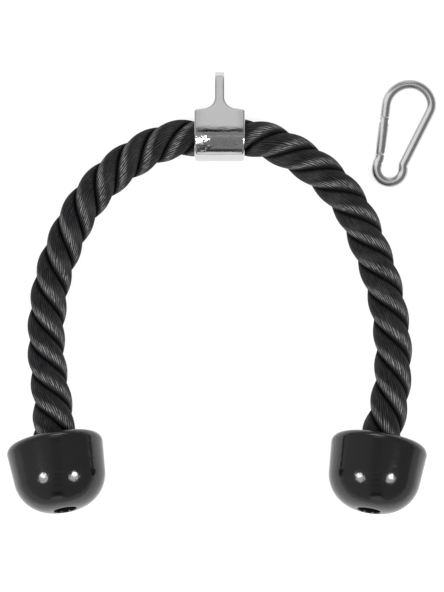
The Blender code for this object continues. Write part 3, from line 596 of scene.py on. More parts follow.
def laid_nylon():
    """Laid nylon rope: yarns with their sheen across them, and a painted sheen along one side of each strand.
    """
    sizes, colours = settings().rope, settings().colours
    soft = {"IOR": 1.53, "Specular IOR Level": 0.15, "Anisotropic": 0.85, "Anisotropic Rotation": 0.25}
    material, tree, shader = new_material("laid_nylon", linear(colours.nylon), 0.5, 0.0, soft)
    axis = add_node(tree, "ShaderNodeAttribute", {"attribute_name": "yarn_direction"})
    tree.links.new(axis.outputs["Vector"], shader.inputs["Tangent"])
    place = add_node(tree, "ShaderNodeAttribute", {"attribute_name": "strand_space"}).outputs["Vector"]
    parts = add_node(tree, "ShaderNodeSeparateXYZ", None, {0: place}).outputs
    # One noise lets the yarns wander round the rope, and a finer one wears them here and there
    noises = []
    for across, along, detail in ((0.4, 1.0, 3.0), (1.6, 5.0, 2.0)):
        scale = (across / sizes.yarn, across / sizes.yarn, along / sizes.yarn_length)
        stretch = add_node(tree, "ShaderNodeMapping", None, {"Vector": place, "Scale": scale})
        noise = {"Vector": stretch, "Scale": 1.0, "Detail": detail}
        noises.append(add_node(tree, "ShaderNodeTexNoise", None, noise))
    around = add_node(tree, "ShaderNodeMath", {"operation": "ARCTAN2"}, {0: parts["Y"], 1: parts["X"]})
    wander = add_node(tree, "ShaderNodeMath", {"operation": "MULTIPLY"}, {0: noises[0], 1: sizes.yarn_wander})
    yarns = float(round(math.pi * sizes.crown_diameter / sizes.yarn))
    phase = add_node(tree, "ShaderNodeMath", {"operation": "MULTIPLY_ADD"}, {0: around, 1: yarns, 2: wander})
    height = add_node(tree, "ShaderNodeMath", {"operation": "SINE"}, {0: phase})
    span = {"Value": height, "From Min": -0.7, "From Max": 0.8}
    streak = add_node(tree, "ShaderNodeMapRange", {"interpolation_type": "SMOOTHSTEP"}, span)
    span = {"Value": noises[1], "From Min": 0.36, "From Max": 0.64, "To Min": 0.2, "To Max": 1.1}
    worn = add_node(tree, "ShaderNodeMapRange", None, span)
    streak = add_node(tree, "ShaderNodeMath", {"operation": "MULTIPLY"}, {0: streak, 1: worn})

    # How far a point stands above the crease between two strands. Below the crowns the colour is darkened
    # with painted shade
    flat = add_node(tree, "ShaderNodeCombineXYZ", None, {"X": parts["X"], "Y": parts["Y"]})
    reach = add_node(tree, "ShaderNodeVectorMath", {"operation": "LENGTH"}, {0: flat}).outputs["Value"]
    crown = sizes.crown_diameter / 2
    span = {"Value": reach, "From Min": crown - sizes.shade_depth, "From Max": crown - sizes.shade_depth / 4}
    rise = add_node(tree, "ShaderNodeMapRange", {"interpolation_type": "SMOOTHSTEP"}, span)
    lit = add_node(tree, "ShaderNodeMapRange", None, {"Value": streak, "To Min": 0.12, "To Max": 1.0})
    plain = add_node(tree, "ShaderNodeMath", {"operation": "MULTIPLY"}, {0: rise, 1: lit})
    # Painted shade: the creases and the gaps between yarns go to the shade colour, and the yarns' crowns stay
    # lighter
    ends = {0: plain, 6: linear(colours.nylon_painted_shade), 7: linear(colours.nylon)}
    body = add_node(tree, "ShaderNodeMix", {"data_type": "RGBA"}, ends).outputs[2]
    # The painted sheen: a lighter colour in yarn streaks on one side of the strand, from crease to crease,
    # standing in for its highlight
    share = add_node(tree, "ShaderNodeAttribute", {"attribute_name": "strand_share"}).outputs["Fac"]
    side = add_node(tree, "ShaderNodeValToRGB", None, {"Fac": share})
    set_greys(side.color_ramp, PAINTED_SHEEN_SHARES, "EASE")
    for factor in (streak, rise):
        side = add_node(tree, "ShaderNodeMath", {"operation": "MULTIPLY"}, {0: side, 1: factor})
    ends = {0: side, 6: body, 7: linear(colours.nylon_painted_sheen)}
    mix = add_node(tree, "ShaderNodeMix", {"data_type": "RGBA"}, ends)
    tree.links.new(mix.outputs[2], shader.inputs["Base Color"])
    dull = add_node(tree, "ShaderNodeMapRange", None, {"Value": rise, "To Min": 0.95, "To Max": 0.46})
    tree.links.new(dull.outputs[0], shader.inputs["Roughness"])
    relief = {"Height": height, "Distance": sizes.yarn_relief, "Strength": 1.0}
    bump = add_node(tree, "ShaderNodeBump", None, relief)
    tree.links.new(bump.outputs[0], shader.inputs["Normal"])
    return material


def wavy_patch(tree, place, waves, centre, reach):
    """A soft patch with a wavy edge on the flat view of the collar: one inside it and nothing outside."""
    # The patch goes straight through the collar, so its third scale is far longer than the collar is thick
    spot = {"Vector": place, "Location": (*centre, 0), "Scale": (*reach, 1000.0)}
    parts = add_node(tree, "ShaderNodeMapping", {"vector_type": "TEXTURE"}, spot)
    away = add_node(tree, "ShaderNodeVectorMath", {"operation": "LENGTH"}, {0: parts}).outputs["Value"]
    edge = add_node(tree, "ShaderNodeMath", {"operation": "MULTIPLY_ADD"}, {0: waves, 1: 2.8, 2: away})
    span = {"Value": edge, "From Min": 2.8, "From Max": 2.0}
    return add_node(tree, "ShaderNodeMapRange", {"interpolation_type": "SMOOTHSTEP"}, span)


def polished_chrome():
    """Polished chrome plate: a mirror, with waves and two hollows left by the hand grinding under it."""
    material, tree, shader = new_material("polished_chrome", linear(settings().colours.chrome), 0.07, 1.0)
    place = add_node(tree, "ShaderNodeTexCoord").outputs["Object"]
    along = add_node(tree, "ShaderNodeMapping", None, {"Vector": place, "Scale": (0.4, 1.0, 1.0)})
    waves, ripples, edges = (
        add_node(tree, "ShaderNodeTexNoise", None, {"Vector": vector, "Scale": 1 / size, "Detail": detail})
        for vector, size, detail in (
            (along, CHROME_WAVE, 3.0),
            (along, CHROME_RIPPLE, 2.0),
            (place, HOLLOW_EDGE, 3.0),
        )
    )
    bump = add_node(tree, "ShaderNodeBump", None, {"Height": waves, "Distance": 0.0002, "Strength": 0.4})
    # A stretch of the sleeve's round near side is ground less finely
    middle = sleeve_middle()
    across = add_node(tree, "ShaderNodeSeparateXYZ", None, {0: place}).outputs["Y"]
    for start, end in RIPPLED_BAND:
        span = {"Value": across, "From Min": middle.y + start, "From Max": middle.y + end}
        share = add_node(tree, "ShaderNodeMapRange", {"interpolation_type": "SMOOTHSTEP"}, span)
        ripples = add_node(tree, "ShaderNodeMath", {"operation": "MULTIPLY"}, {0: ripples, 1: share})
    rough = {"Height": ripples, "Distance": 0.0005, "Strength": 0.7, "Normal": bump}
    normal = add_node(tree, "ShaderNodeBump", None, rough)
    sway = add_node(tree, "ShaderNodeMapRange", None, {"Value": edges, "To Min": -0.2, "To Max": 0.2})
    sway = add_node(tree, "ShaderNodeCombineXYZ", None, {"X": sway, "Y": sway})
    for centre, reach, lean in CHROME_HOLLOWS:
        inside = wavy_patch(tree, place, edges, (middle.x + centre[0], middle.y + centre[1]), reach)
        uneven = add_node(tree, "ShaderNodeVectorMath", {"operation": "ADD"}, {0: sway, 1: lean})
        tilt = add_node(tree, "ShaderNodeVectorMath", {"operation": "SCALE"}, {0: uneven, "Scale": inside})
        normal = add_node(tree, "ShaderNodeVectorMath", {"operation": "ADD"}, {0: normal, 1: tilt})
        normal = add_node(tree, "ShaderNodeVectorMath", {"operation": "NORMALIZE"}, {0: normal})
    tree.links.new(normal.outputs[0], shader.inputs["Normal"])
    return material


def bright_zinc():
    """Bright zinc plate on drawn wire: silvery, a little soft, with faint clouds."""
    material, tree, shader = new_material("bright_zinc_plate", linear(settings().colours.zinc), 0.2, 1.0)
    place = add_node(tree, "ShaderNodeTexCoord").outputs["Object"]
    clouds = {"Vector": place, "Scale": 1 / ZINC_CLOUD, "Detail": 3.0}
    clouds = add_node(tree, "ShaderNodeTexNoise", None, clouds)
    spread = add_node(tree, "ShaderNodeMapRange", None, {"Value": clouds, "To Min": 0.18, "To Max": 0.32})
    tree.links.new(spread.outputs[0], shader.inputs["Roughness"])
    return material


def glossy_moulding():
    """Moulded black plastic with a high gloss, and the slight waves of a moulding."""
    material, tree, shader = new_material("glossy_black_moulding", linear(settings().colours.moulding), 0.13)
    place = add_node(tree, "ShaderNodeTexCoord").outputs["Object"]
    waves = {"Vector": place, "Scale": 1 / MOULDING_WAVE, "Detail": 2.0}
    waves = add_node(tree, "ShaderNodeTexNoise", None, waves)
    bump = add_node(tree, "ShaderNodeBump", None, {"Height": waves, "Distance": 0.0005, "Strength": 0.3})
    tree.links.new(bump.outputs[0], shader.inputs["Normal"])
    return material


def finish_of(name, make):
    """The finish if it is made already, or else a new one."""
    return bpy.data.materials.get(name) or make()


def dress(obj, finish, body, node, place=None):
    """Give a piece its place, shading and finish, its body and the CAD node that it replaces."""
    if place is not None:
        obj.data.transform(place)
    smooth(obj)
    obj.data.materials.clear()
    obj.data.materials.append(finish)
    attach(obj, body)
    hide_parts(node)


def rope_section():
    """The rope's cross section: one round lobe for each strand, with a crease between each two."""
    sizes = settings().rope
    outer = sizes.crown_diameter / 2
    offset = outer - sizes.strand_radius
    sector = 2 * math.pi / sizes.strands
    points = []
    for i in range(sizes.section_points):
        around = 2 * math.pi * i / sizes.section_points
        local = (around + sector / 2) % sector - sector / 2
        reach = offset * math.cos(local) + math.sqrt(sizes.strand_radius**2 - (offset * math.sin(local)) ** 2)
        to_seam = outer * (sector / 2 - abs(local))
        reach -= sizes.seam_depth * math.exp(-((to_seam / sizes.seam_width) ** 2))
        points.append((reach * math.cos(around), reach * math.sin(around)))
    return drawn("rope_section", points, True)


def laid_rope_tree():
    """Geometry Nodes: the section follows the centreline and turns once in each lay length."""
    sizes = settings().rope
    tree = bpy.data.node_groups.new("laid_rope", "GeometryNodeTree")
    for name, kind in (
        ("Centreline", "Geometry"),
        ("Section", "Object"),
        ("Lay length", "Float"),
        ("Phase", "Float"),
        ("Step", "Float"),
        ("Finish", "Material"),
    ):
        tree.interface.new_socket(name, in_out="INPUT", socket_type=f"NodeSocket{kind}")
    tree.interface.new_socket("Rope", in_out="OUTPUT", socket_type="NodeSocketGeometry")
    given = add_node(tree, "NodeGroupInput").outputs
    even = {"Curve": given["Centreline"], "Length": given["Step"]}
    even = add_node(tree, "GeometryNodeResampleCurve", {"mode": "LENGTH"}, even)
    along = add_node(tree, "GeometryNodeSplineParameter").outputs["Length"]
    laps = add_node(tree, "ShaderNodeMath", {"operation": "DIVIDE"}, {0: along, 1: given["Lay length"]})
    twist = {0: laps, 1: -2 * math.pi, 2: given["Phase"]}
    twist = add_node(tree, "ShaderNodeMath", {"operation": "MULTIPLY_ADD"}, twist)
    position = add_node(tree, "GeometryNodeInputPosition")
    rail = add_node(tree, "GeometryNodeCaptureAttribute", None, {"Geometry": even})
    for name, kind, node in (
        ("Twist", "FLOAT", twist),
        ("Axis", "VECTOR", add_node(tree, "GeometryNodeInputTangent")),
        ("Middle", "VECTOR", position),
        ("Swell", "FLOAT", add_node(tree, "GeometryNodeInputRadius")),
    ):
        rail.capture_items.new(kind, name)
        tree.links.new(node.outputs[0], rail.inputs[name])
    rail.capture_items.new("FLOAT", "Along")
    tree.links.new(along, rail.inputs["Along"])
    tilted = add_node(tree, "GeometryNodeSetCurveTilt", None, {"Curve": rail, "Tilt": rail.outputs["Twist"]})
    section = add_node(tree, "GeometryNodeObjectInfo", None, {"Object": given["Section"]}).outputs["Geometry"]
    shape = add_node(tree, "GeometryNodeCaptureAttribute", None, {"Geometry": section})
    shape.capture_items.new("VECTOR", "Place")
    tree.links.new(position.outputs[0], shape.inputs["Place"])
    skin = {"Curve": tilted, "Profile Curve": shape, "Scale": rail.outputs["Swell"], "Fill Caps": True}
    skin = add_node(tree, "GeometryNodeCurveToMesh", None, skin)
    # Where each point would be in a straight rope whose yarns run level, with other yarns on each strand
    less = {0: rail.outputs["Twist"], 1: 1 - sizes.yarn_turn}
    less = add_node(tree, "ShaderNodeMath", {"operation": "MULTIPLY"}, less)
    turn = {"Vector": shape.outputs["Place"], "Angle": less}
    unturned = add_node(tree, "ShaderNodeVectorRotate", {"rotation_type": "Z_AXIS"}, turn)
    spot = add_node(tree, "ShaderNodeSeparateXYZ", None, {0: shape.outputs["Place"]}).outputs
    around = add_node(tree, "ShaderNodeMath", {"operation": "ARCTAN2"}, {0: spot["Y"], 1: spot["X"]})
    per_strand = {0: around, 1: sizes.strands / (2 * math.pi), 2: 0.5}
    strand = add_node(tree, "ShaderNodeMath", {"operation": "MULTIPLY_ADD"}, per_strand)
    index = add_node(tree, "ShaderNodeMath", {"operation": "FLOOR"}, {0: strand})
    share = add_node(tree, "ShaderNodeMath", {"operation": "FRACT"}, {0: strand})
    shifted = {0: index, 1: sizes.yarn_shift, 2: rail.outputs["Along"]}
    level = add_node(tree, "ShaderNodeMath", {"operation": "MULTIPLY_ADD"}, shifted)
    height = add_node(tree, "ShaderNodeCombineXYZ", None, {"Z": level})
    straight = add_node(tree, "ShaderNodeVectorMath", {"operation": "ADD"}, {0: unturned, 1: height})
    # The yarns' own direction: along the rope, and turned a little round it with the lay
    outwards = {0: position, 1: rail.outputs["Middle"]}
    outwards = add_node(tree, "ShaderNodeVectorMath", {"operation": "SUBTRACT"}, outwards)
    across = {0: rail.outputs["Axis"], 1: outwards}
    across = add_node(tree, "ShaderNodeVectorMath", {"operation": "CROSS_PRODUCT"}, across)
    lean = {0: across, "Scale": -2 * math.pi * sizes.yarn_turn / sizes.left_lay}
    lean = add_node(tree, "ShaderNodeVectorMath", {"operation": "SCALE"}, lean)
    fibres = add_node(tree, "ShaderNodeVectorMath", {"operation": "ADD"}, {0: rail.outputs["Axis"], 1: lean})
    for name, kind, value in (
        ("strand_space", "FLOAT_VECTOR", straight),
        ("strand_share", "FLOAT", share),
        ("yarn_direction", "FLOAT_VECTOR", fibres),
    ):
        stored = {"Geometry": skin, "Name": name, "Value": value}
        kind = {"data_type": kind, "domain": "POINT"}
        skin = add_node(tree, "GeometryNodeStoreNamedAttribute", kind, stored)
    shaded = add_node(tree, "GeometryNodeSetShadeSmooth", None, {"Geometry": skin})
    real = add_node(tree, "GeometryNodeRealizeInstances", None, {"Geometry": shaded})
    finished = {"Geometry": real, "Material": given["Finish"]}
    finished = add_node(tree, "GeometryNodeSetMaterial", None, finished)
    add_node(tree, "NodeGroupOutput", None, {"Rope": finished})
    return tree


def laid_piece(name, centreline, lay, phase, swell, tree, section, finish):
    """One length of laid rope along the centreline, thicker towards its end by the swell."""
    sizes = settings().rope
    rope = drawn(name, centreline)
    steps = np.linalg.norm(np.diff(np.array(centreline), axis=0), axis=1)
    to_end = steps.sum() - np.concatenate([[0], np.cumsum(steps)])
    for target, away in zip(rope.data.splines[0].points, to_end):
        target.radius = 1 + swell * math.exp(-((away / sizes.swell_length) ** 2))
    nodes = rope.modifiers.new("laid rope", "NODES")
    nodes.node_group = tree
    given = {"Section": section, "Lay length": lay, "Phase": phase, "Step": sizes.step, "Finish": finish}
    for item in tree.interface.items_tree:
        if item.in_out == "INPUT" and item.name in given:
            nodes[item.identifier] = given[item.name]
    rope = baked(rope)
    rope.data.shade_smooth()
    return rope


class ROPE_OT_laid_rope(bpy.types.Operator):
    """Lay the rope: two free legs and the stretch inside the sleeve"""

    bl_idname = "rope_attachment.laid_rope"
    bl_label = "Laid rope"

    def execute(self, context):
        sizes, collar, stopper = settings().rope, settings().collar, settings().stopper
        middle = sleeve_middle()
        tree, section, finish = laid_rope_tree(), rope_section(), finish_of("laid_nylon", laid_nylon)
        mouth_x = collar.sleeve_length / 2
        laid = {
            "left": (sizes.left_lay, sizes.left_phase, sizes.left_swell),
            "right": (sizes.right_lay, sizes.right_phase, sizes.right_swell),
        }
        for side, away in (("left", -1), ("right", 1)):
            place = stopper_place(side)
            out = Vector((away, 0, 0))
            inwards = place.to_3x3() @ Vector((0, 0, -1))
            exit_point = middle + mouth_x * out
            mouth = place @ Vector((0, 0, stopper.height))
            route = [middle + Vector((x, y, z - middle.z)) for x, y, z in ROUTES[side]]
            free = smooth_curve((exit_point, *route, mouth), out, inwards, ROUTE_STEP)
            start = np.array(exit_point - sizes.inside * out)
            end = np.array(mouth + sizes.inside * inwards)
            centreline = np.vstack([start, free, end])
            leg = laid_piece(f"rope_{side}_laid", centreline, *laid[side], tree, section, finish)
            reach = round(sizes.bending / ROUTE_STEP)
            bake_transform(leg)
            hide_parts(f"rope_{side}")
        reach = Vector((mouth_x - sizes.inside - GAP, 0, 0))
        ends = [middle - reach, middle + reach]
        core = laid_piece("rope_in_sleeve", ends, sizes.left_lay, 0.0, 0.0, tree, section, finish)
        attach(core, "collar")
        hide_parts("rope_core")
        bpy.data.objects.remove(section)
        return {"FINISHED"}


def flared(radius, half_length, mouth_round, reach):
    """The outline of a bore cutter whose two mouths widen by a quarter round."""
    wide = radius + mouth_round
    top = arc((wide, half_length - mouth_round), mouth_round, math.pi, math.pi / 2, math.radians(9.0))
    bottom = [(r, -h) for r, h in reversed(top)]
    return [(0, reach), (wide, reach), *reversed(top), *reversed(bottom), (wide, -reach), (0, -reach)]


def collar_outline(sizes, sleeve, half, reach):
    """The collar's front outline: the sleeve's length below, sloped shoulders, and flares up to the lug."""
    slope, corner_round = sizes.shoulder_slope, sizes.shoulder_round
    half_lug = sizes.lug_thickness / 2
    corner_x, flare_x = half - corner_round, half_lug + sizes.flare_radius
    edge = sleeve + sizes.shoulder_rise
    corner_y = edge + (half - corner_x) * math.tan(slope) - corner_round / math.cos(slope)
    flare_y = edge + (half - flare_x) * math.tan(slope) + sizes.flare_radius / math.cos(slope)
    fine = math.radians(3.0)
    right = [(half, -reach)]
    right += arc((corner_x, corner_y), corner_round, 0, math.pi / 2 - slope, fine)
    right += arc((flare_x, flare_y), sizes.flare_radius, 3 * math.pi / 2 - slope, math.pi, fine)
    right.append((half_lug, sizes.eye_height + 2 * sizes.eye_radius))
    return right + [(-x, y) for x, y in reversed(right)]


def weigh_rounds(collar, sizes, half):
    """Mark the sharp edges for the bevel: the sleeve's rims get rounder on the side away from the lug."""
    least = sizes.edge_round / sizes.end_round
    shape = bmesh.new()
    shape.from_mesh(collar.data)
    weight = shape.edges.layers.float.new("bevel_weight_edge")
    for edge in shape.edges:
        if edge.calc_face_angle(0.0) < BEVEL_ANGLE:
            continue
        middle = (edge.verts[0].co + edge.verts[1].co) / 2
        away = max(0.0, -2 * middle.y / sizes.sleeve_diameter) if abs(middle.x) > half - WELD else 0.0
        edge[weight] = least + (1 - least) * min(1.0, away) ** 2
    shape.to_mesh(collar.data)
    shape.free()


class ROPE_OT_collar(bpy.types.Operator):
    """Forge and plate the collar: sleeve, shoulders, flares, lug and eye"""

    bl_idname = "rope_attachment.collar"
    bl_label = "Chromed collar"

    def execute(self, context):
        sizes = settings().collar
        sleeve, half = sizes.sleeve_diameter / 2, sizes.sleeve_length / 2
        half_lug = sizes.lug_thickness / 2
        z_to_x = Matrix.Rotation(math.pi / 2, 4, "Y")
        fine = math.radians(2.0)
        taper = math.asin((sleeve - sizes.eye_radius) / sizes.eye_height)
        start = taper - sizes.crown_angle
        slow = sizes.crown_radius - sleeve
        crown_middle = Vector((slow * math.cos(start), -slow * math.sin(start)))
        to_eye = Vector((0, sizes.eye_height)) - crown_middle
        lean = math.atan2(-to_eye.x, to_eye.y)
        cheek = math.asin((sizes.crown_radius - sizes.eye_radius) / to_eye.length) - lean
        sides = arc(crown_middle, sizes.crown_radius, math.pi - cheek, math.pi - start, fine / 4)
        sides += arc((0, 0), sleeve, math.pi - start, 2 * math.pi + taper, fine)[1:]
        sides += arc((0, sizes.eye_height), sizes.eye_radius, taper, math.pi - cheek, fine)
        collar = baked(plate("chromed_collar", sides, 2 * sizes.sleeve_length), ALONG_X)
        reach = sleeve + sizes.end_round
        front = plate("outline", collar_outline(sizes, sleeve, half, reach), 2 * reach)
        collar = combine(collar, [baked(front)], "INTERSECT")
        weigh_rounds(collar, sizes, half)
        collar = rounded(collar, sizes.end_round, 5, None)

        bore_radius = settings().rope.diameter / 2 + GAP
        bore = flared(bore_radius, half, sizes.mouth_round, half + sizes.end_round)
        eye = flared(sizes.eye_hole / 2, half_lug, sizes.eye_round, half_lug + sizes.end_round)
        to_hole = Matrix.Translation((0, sizes.eye_height, 0)) @ z_to_x
        bore = baked(turned("bore", bore, False, 180), z_to_x)
        eye = baked(turned("eye", eye, False, 96), to_hole)
        collar = combine(collar, [bore, eye], "DIFFERENCE")
        finish = finish_of("polished_chrome", polished_chrome)
        dress(collar, finish, "collar", "eye_collar", collar_place())
        return {"FINISHED"}


class ROPE_OT_stoppers(bpy.types.Operator):
    """Mould the two stoppers"""

    bl_idname = "rope_attachment.stoppers"
    bl_label = "Moulded stoppers"

    def execute(self, context):
        sizes = settings().stopper
        socket = settings().rope.diameter / 2 + GAP
        taper = sizes.taper
        rim = (sizes.radius - sizes.rim_round, sizes.height - sizes.rim_round)
        inward = sizes.dome_radius - sizes.rim_round + math.sin(taper) * (rim[1] - sizes.dome_radius)
        dome = (rim[0] - inward / math.cos(taper), sizes.dome_radius)
        hole, screw_hole = sizes.hole / 2, sizes.screw / 2 + GAP
        lip = sizes.lip_round
        lip_angle = -math.acos((hole + lip - dome[0]) / (sizes.dome_radius - lip))
        lip_height = dome[1] + (sizes.dome_radius - lip) * math.sin(lip_angle)
        mouth = (socket + sizes.mouth_round, sizes.height - sizes.mouth_round)
        outline = arc(mouth, sizes.mouth_round, math.pi, math.pi / 2, math.radians(10.0))
        outline += arc(rim, sizes.rim_round, math.pi / 2, -taper)
        outline += arc(dome, sizes.dome_radius, -taper, lip_angle, math.radians(3.0))
        outline += arc((hole + lip, lip_height), lip, lip_angle, -math.pi, math.radians(12.0))[1:]
        web_top = sizes.hole_depth + sizes.web
        outline += [(hole, sizes.hole_depth), (screw_hole, sizes.hole_depth)]
        outline += [(screw_hole, web_top), (socket, web_top)]
        finish = finish_of("glossy_black_moulding", glossy_moulding)
        for side in ("left", "right"):
            stopper = baked(turned(f"stopper_{side}_moulding", outline), stopper_place(side))
            dress(stopper, finish, f"{side}_end", f"stopper_{side}")
        return {"FINISHED"}


class ROPE_OT_fixings(bpy.types.Operator):
    """Make what holds each stopper: rope end, washer and screw"""

    bl_idname = "rope_attachment.fixings"
    bl_label = "Stopper fixings"

    def execute(self, context):
        sizes, rope = settings().stopper, settings().rope
        web_top = sizes.hole_depth + sizes.web
        tip = web_top + sizes.screw_bite
        shank, head = sizes.screw / 2, sizes.head / 2
        inner = shank + GAP
        # The washer lies under the web, and the screw's head under the washer
        top = sizes.hole_depth - GAP
        bottom = top - sizes.washer_thickness
        rim = sizes.hole / 2 - 2 * GAP
        edge = sizes.washer_edge
        ring = [(inner, top), (rim, top), (rim, bottom + edge), (rim - edge, bottom), (inner, bottom)]
        face = bottom - GAP
        crown = face - sizes.head_height
        flank = face - sizes.head_flank * sizes.head_height
        point = face + sizes.screw_point * (tip - face)
        screw = [(0, tip), (shank, point), (shank, face), (head, face), (head, flank)]
        rise = [math.pi / 2 * i / 8 for i in range(1, 8)]
        screw += [(head * math.cos(a), flank - (flank - crown) * math.sin(a)) for a in rise] + [(0, crown)]
        radius = rope.diameter / 2
        low = web_top + GAP
        plug_top = sizes.height - rope.inside - GAP
        plug = [(0, plug_top), (radius, plug_top), (radius, low), (inner, low), (inner, tip), (0, tip + GAP)]
        half, width = sizes.recess / 2, sizes.recess_width / 2
        deep = sizes.recess_depth * sizes.head_height
        zinc, nylon = finish_of("bright_zinc_plate", bright_zinc), finish_of("laid_nylon", laid_nylon)
        for side in ("left", "right"):
            place, body = stopper_place(side), f"{side}_end"
            washer = baked(turned(f"washer_{side}_plated", ring, True, 64), place)
            dress(washer, zinc, body, f"washer_{side}")
            slots = [
                block("slot", (-x, -y, crown - deep), (x, y, crown + deep))
                for x, y in ((half, width), (width, half))
            ]
            bolt = baked(turned(f"end_screw_{side}_plated", screw, False, 64))
            bolt = combine(bolt, slots, "DIFFERENCE")
            dress(bolt, zinc, body, f"end_screw_{side}", place)
            end = baked(turned(f"rope_end_{side}_cut", plug, False, 64), place)
            dress(end, nylon, body, f"rope_end_{side}")
        return {"FINISHED"}


def hook_centreline():
    """The hook's wire from its nose over the crown, down the back leg and round to the hinge's neck."""
    sizes = settings().hook
    crown_from, back_from, lean = sizes.crown_start, sizes.back_start, sizes.leg_lean
    shoulder = (sizes.shoulder_radius, sizes.shoulder_height)
    inward = sizes.shoulder_radius - sizes.crown_radius
    crown = (shoulder[0] + inward * math.cos(crown_from), shoulder[1] + inward * math.sin(crown_from))
    inward = sizes.crown_radius - sizes.back_radius
    back = (crown[0] + inward * math.cos(back_from), crown[1] + inward * math.sin(back_from))
    path = [(0, sizes.gate_length + sizes.nose_gap)]
    path += arc(shoulder, sizes.shoulder_radius, math.pi, crown_from)
    path += arc(crown, sizes.crown_radius, crown_from, back_from)[1:]
    path += arc(back, sizes.back_radius, back_from, -lean)[1:]
    # The leg runs straight to its foot, and a short kink leads on into the lower bend
    top = path[-1]
    for foot, kink in ((sizes.leg_foot, 0.0), (sizes.leg_foot + sizes.kink_length, sizes.kink_width)):
        path.append((top[0] - (top[1] + foot) * math.tan(lean) + kink, -foot))
    path += arc((sizes.bend_x, -sizes.bend_y), sizes.bend_radius, BEND_ENTRY, NECK_ROOT)
    root = path.pop()
    neck = [(root[0] * across, root[1] * down, 0) for across, down in NECK_SHARES]
    neck.append((0, -sizes.neck_top, 0))
    points = [(x, y, 0) for x, y in path]
    return points + [tuple(point) for point in smooth_curve(neck, (0, 1, 0), (0, 1, 0), NECK_STEP)]


def t_outline(sizes, play, bottom, step, top):
    """The nose's outline, a T that stands on its head, with some play round it."""
    stem, head = sizes.nose_stem / 2 + play, sizes.nose_head / 2 + play
    right = [(head, bottom), (head, step), (stem, step), (stem, top)]
    return right + [(-x, y) for x, y in reversed(right)]


class ROPE_OT_hook_frame(bpy.types.Operator):
    """Bend the snap hook's wire and press its lower bend, hinge tab and nose"""

    bl_idname = "rope_attachment.hook_frame"
    bl_label = "Snap hook"

    def execute(self, context):
        sizes = settings().hook
        zinc = finish_of("bright_zinc_plate", bright_zinc)
        hook = baked(tube("snap_hook_wire", hook_centreline(), sizes.wire / 2))
        ring = arc((sizes.bend_x, -sizes.bend_y), sizes.bend_radius, PRESSED_START, PRESSED_END)
        bend = baked(tube("bend", ring, sizes.bend_wire / 2))
        # The hinge tab has a small round at its inner corner and a large one at its outer corner
        small, large = sizes.tab_inner_round, sizes.tab_outer_round
        inner = (sizes.tab_inner - small, sizes.tab_height - small)
        outer = (large - sizes.tab_outer, sizes.tab_height - large)
        tab_outline = [(-sizes.tab_outer, -sizes.tab_root), (sizes.tab_inner, -sizes.tab_root)]
        tab_outline += arc(inner, small, 0, math.pi / 2, math.radians(15.0))
        tab_outline += arc(outer, large, math.pi / 2, math.pi, math.radians(10.0))
        tab = baked(plate("tab", tab_outline, sizes.tab))
        shoulder = sizes.gate_length + sizes.nose_gap
        step = shoulder - sizes.nose_step
        outline = t_outline(sizes, 0.0, shoulder - sizes.nose_depth, step, shoulder + sizes.wire / 4)
        nose = baked(plate("nose", outline, sizes.nose_thickness), ALONG_X)
        hook = combine(hook, [bend, tab, nose], "UNION")
        hook = combine(hook, [rod("hole", sizes.rivet / 2 + GAP, -sizes.tab, sizes.tab)], "DIFFERENCE")
        dress(hook, zinc, "snap_hook", "hook_frame", hook_place())

        half = math.sqrt((sizes.gate / 2) ** 2 - (sizes.rivet / 2) ** 2) - sizes.rivet_inset
        rivet = rounded(rod("gate_rivet_peened", sizes.rivet / 2, -half, half), sizes.rivet / 8, 3)
        dress(rivet, zinc, "snap_hook", "gate_rivet", hook_place())
        return {"FINISHED"}


class ROPE_OT_gate(bpy.types.Operator):
    """Turn, slot and bore the snap hook's gate, and plate its spring and plunger"""

    bl_idname = "rope_attachment.gate"
    bl_label = "Gate"

    def execute(self, context):
        sizes = settings().hook
        zinc = finish_of("bright_zinc_plate", bright_zinc)
        z_to_y = Matrix.Rotation(-math.pi / 2, 4, "X")
        radius, tail = sizes.gate / 2, sizes.gate_tail
        bar = rounded(rod("gate_turned", radius, -tail, sizes.gate_length, z_to_y, 96), sizes.edge_round, 3)
        # Each cutter reaches this far past the bar
        past = 0.003
        wide = radius + past
        slot_half = sizes.tab / 2 + GAP
        heel_turn = Matrix.Rotation(sizes.opening, 4, "Z")
        shoulder = sizes.gate_length + sizes.nose_gap
        step = shoulder - sizes.nose_step + sizes.nose_gap
        bottom = shoulder - sizes.nose_depth - sizes.nose_play
        outline = t_outline(sizes, GAP, bottom, step, sizes.gate_length + past)
        cutters = [
            block("slot", (-wide, -tail - past, -slot_half), (wide, sizes.slot_end, slot_half)),
            rod("bore", sizes.bore / 2, sizes.bore_start, sizes.bore_end, z_to_y),
            rod("hole", sizes.rivet / 2 + GAP, -wide, wide),
            block("heel", (-wide, -tail - 2 * radius, -wide), (2 * wide, -tail, wide), heel_turn),
            baked(plate("nose_slot", outline, 2 * wide), ALONG_X),
        ]
        bar = combine(bar, cutters, "DIFFERENCE")
        dress(bar, zinc, "gate", "gate", hook_place())
        plunger = frame["nodes"]["spring_plunger"]
        plunger.data.materials.clear()
        plunger.data.materials.append(zinc)

        # The spring lies in the bore, with 24 points in each turn. The plunger shortens it from below
        wire, across = sizes.spring_wire / 2, sizes.spring_radius
        points = 24 * sizes.spring_turns + 1
        rounds = np.linspace(0, sizes.spring_turns * 2 * math.pi, points)
        heights = np.linspace(sizes.spring_start + wire, sizes.spring_end - wire, points)
        coil = [(across * math.cos(a), height, across * math.sin(a)) for a, height in zip(rounds, heights)]
        spring = baked(tube("gate_spring_coil", coil, wire, 3), hook_place())
        dress(spring, zinc, "gate", "gate_spring")
        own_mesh(spring)
        return {"FINISHED"}


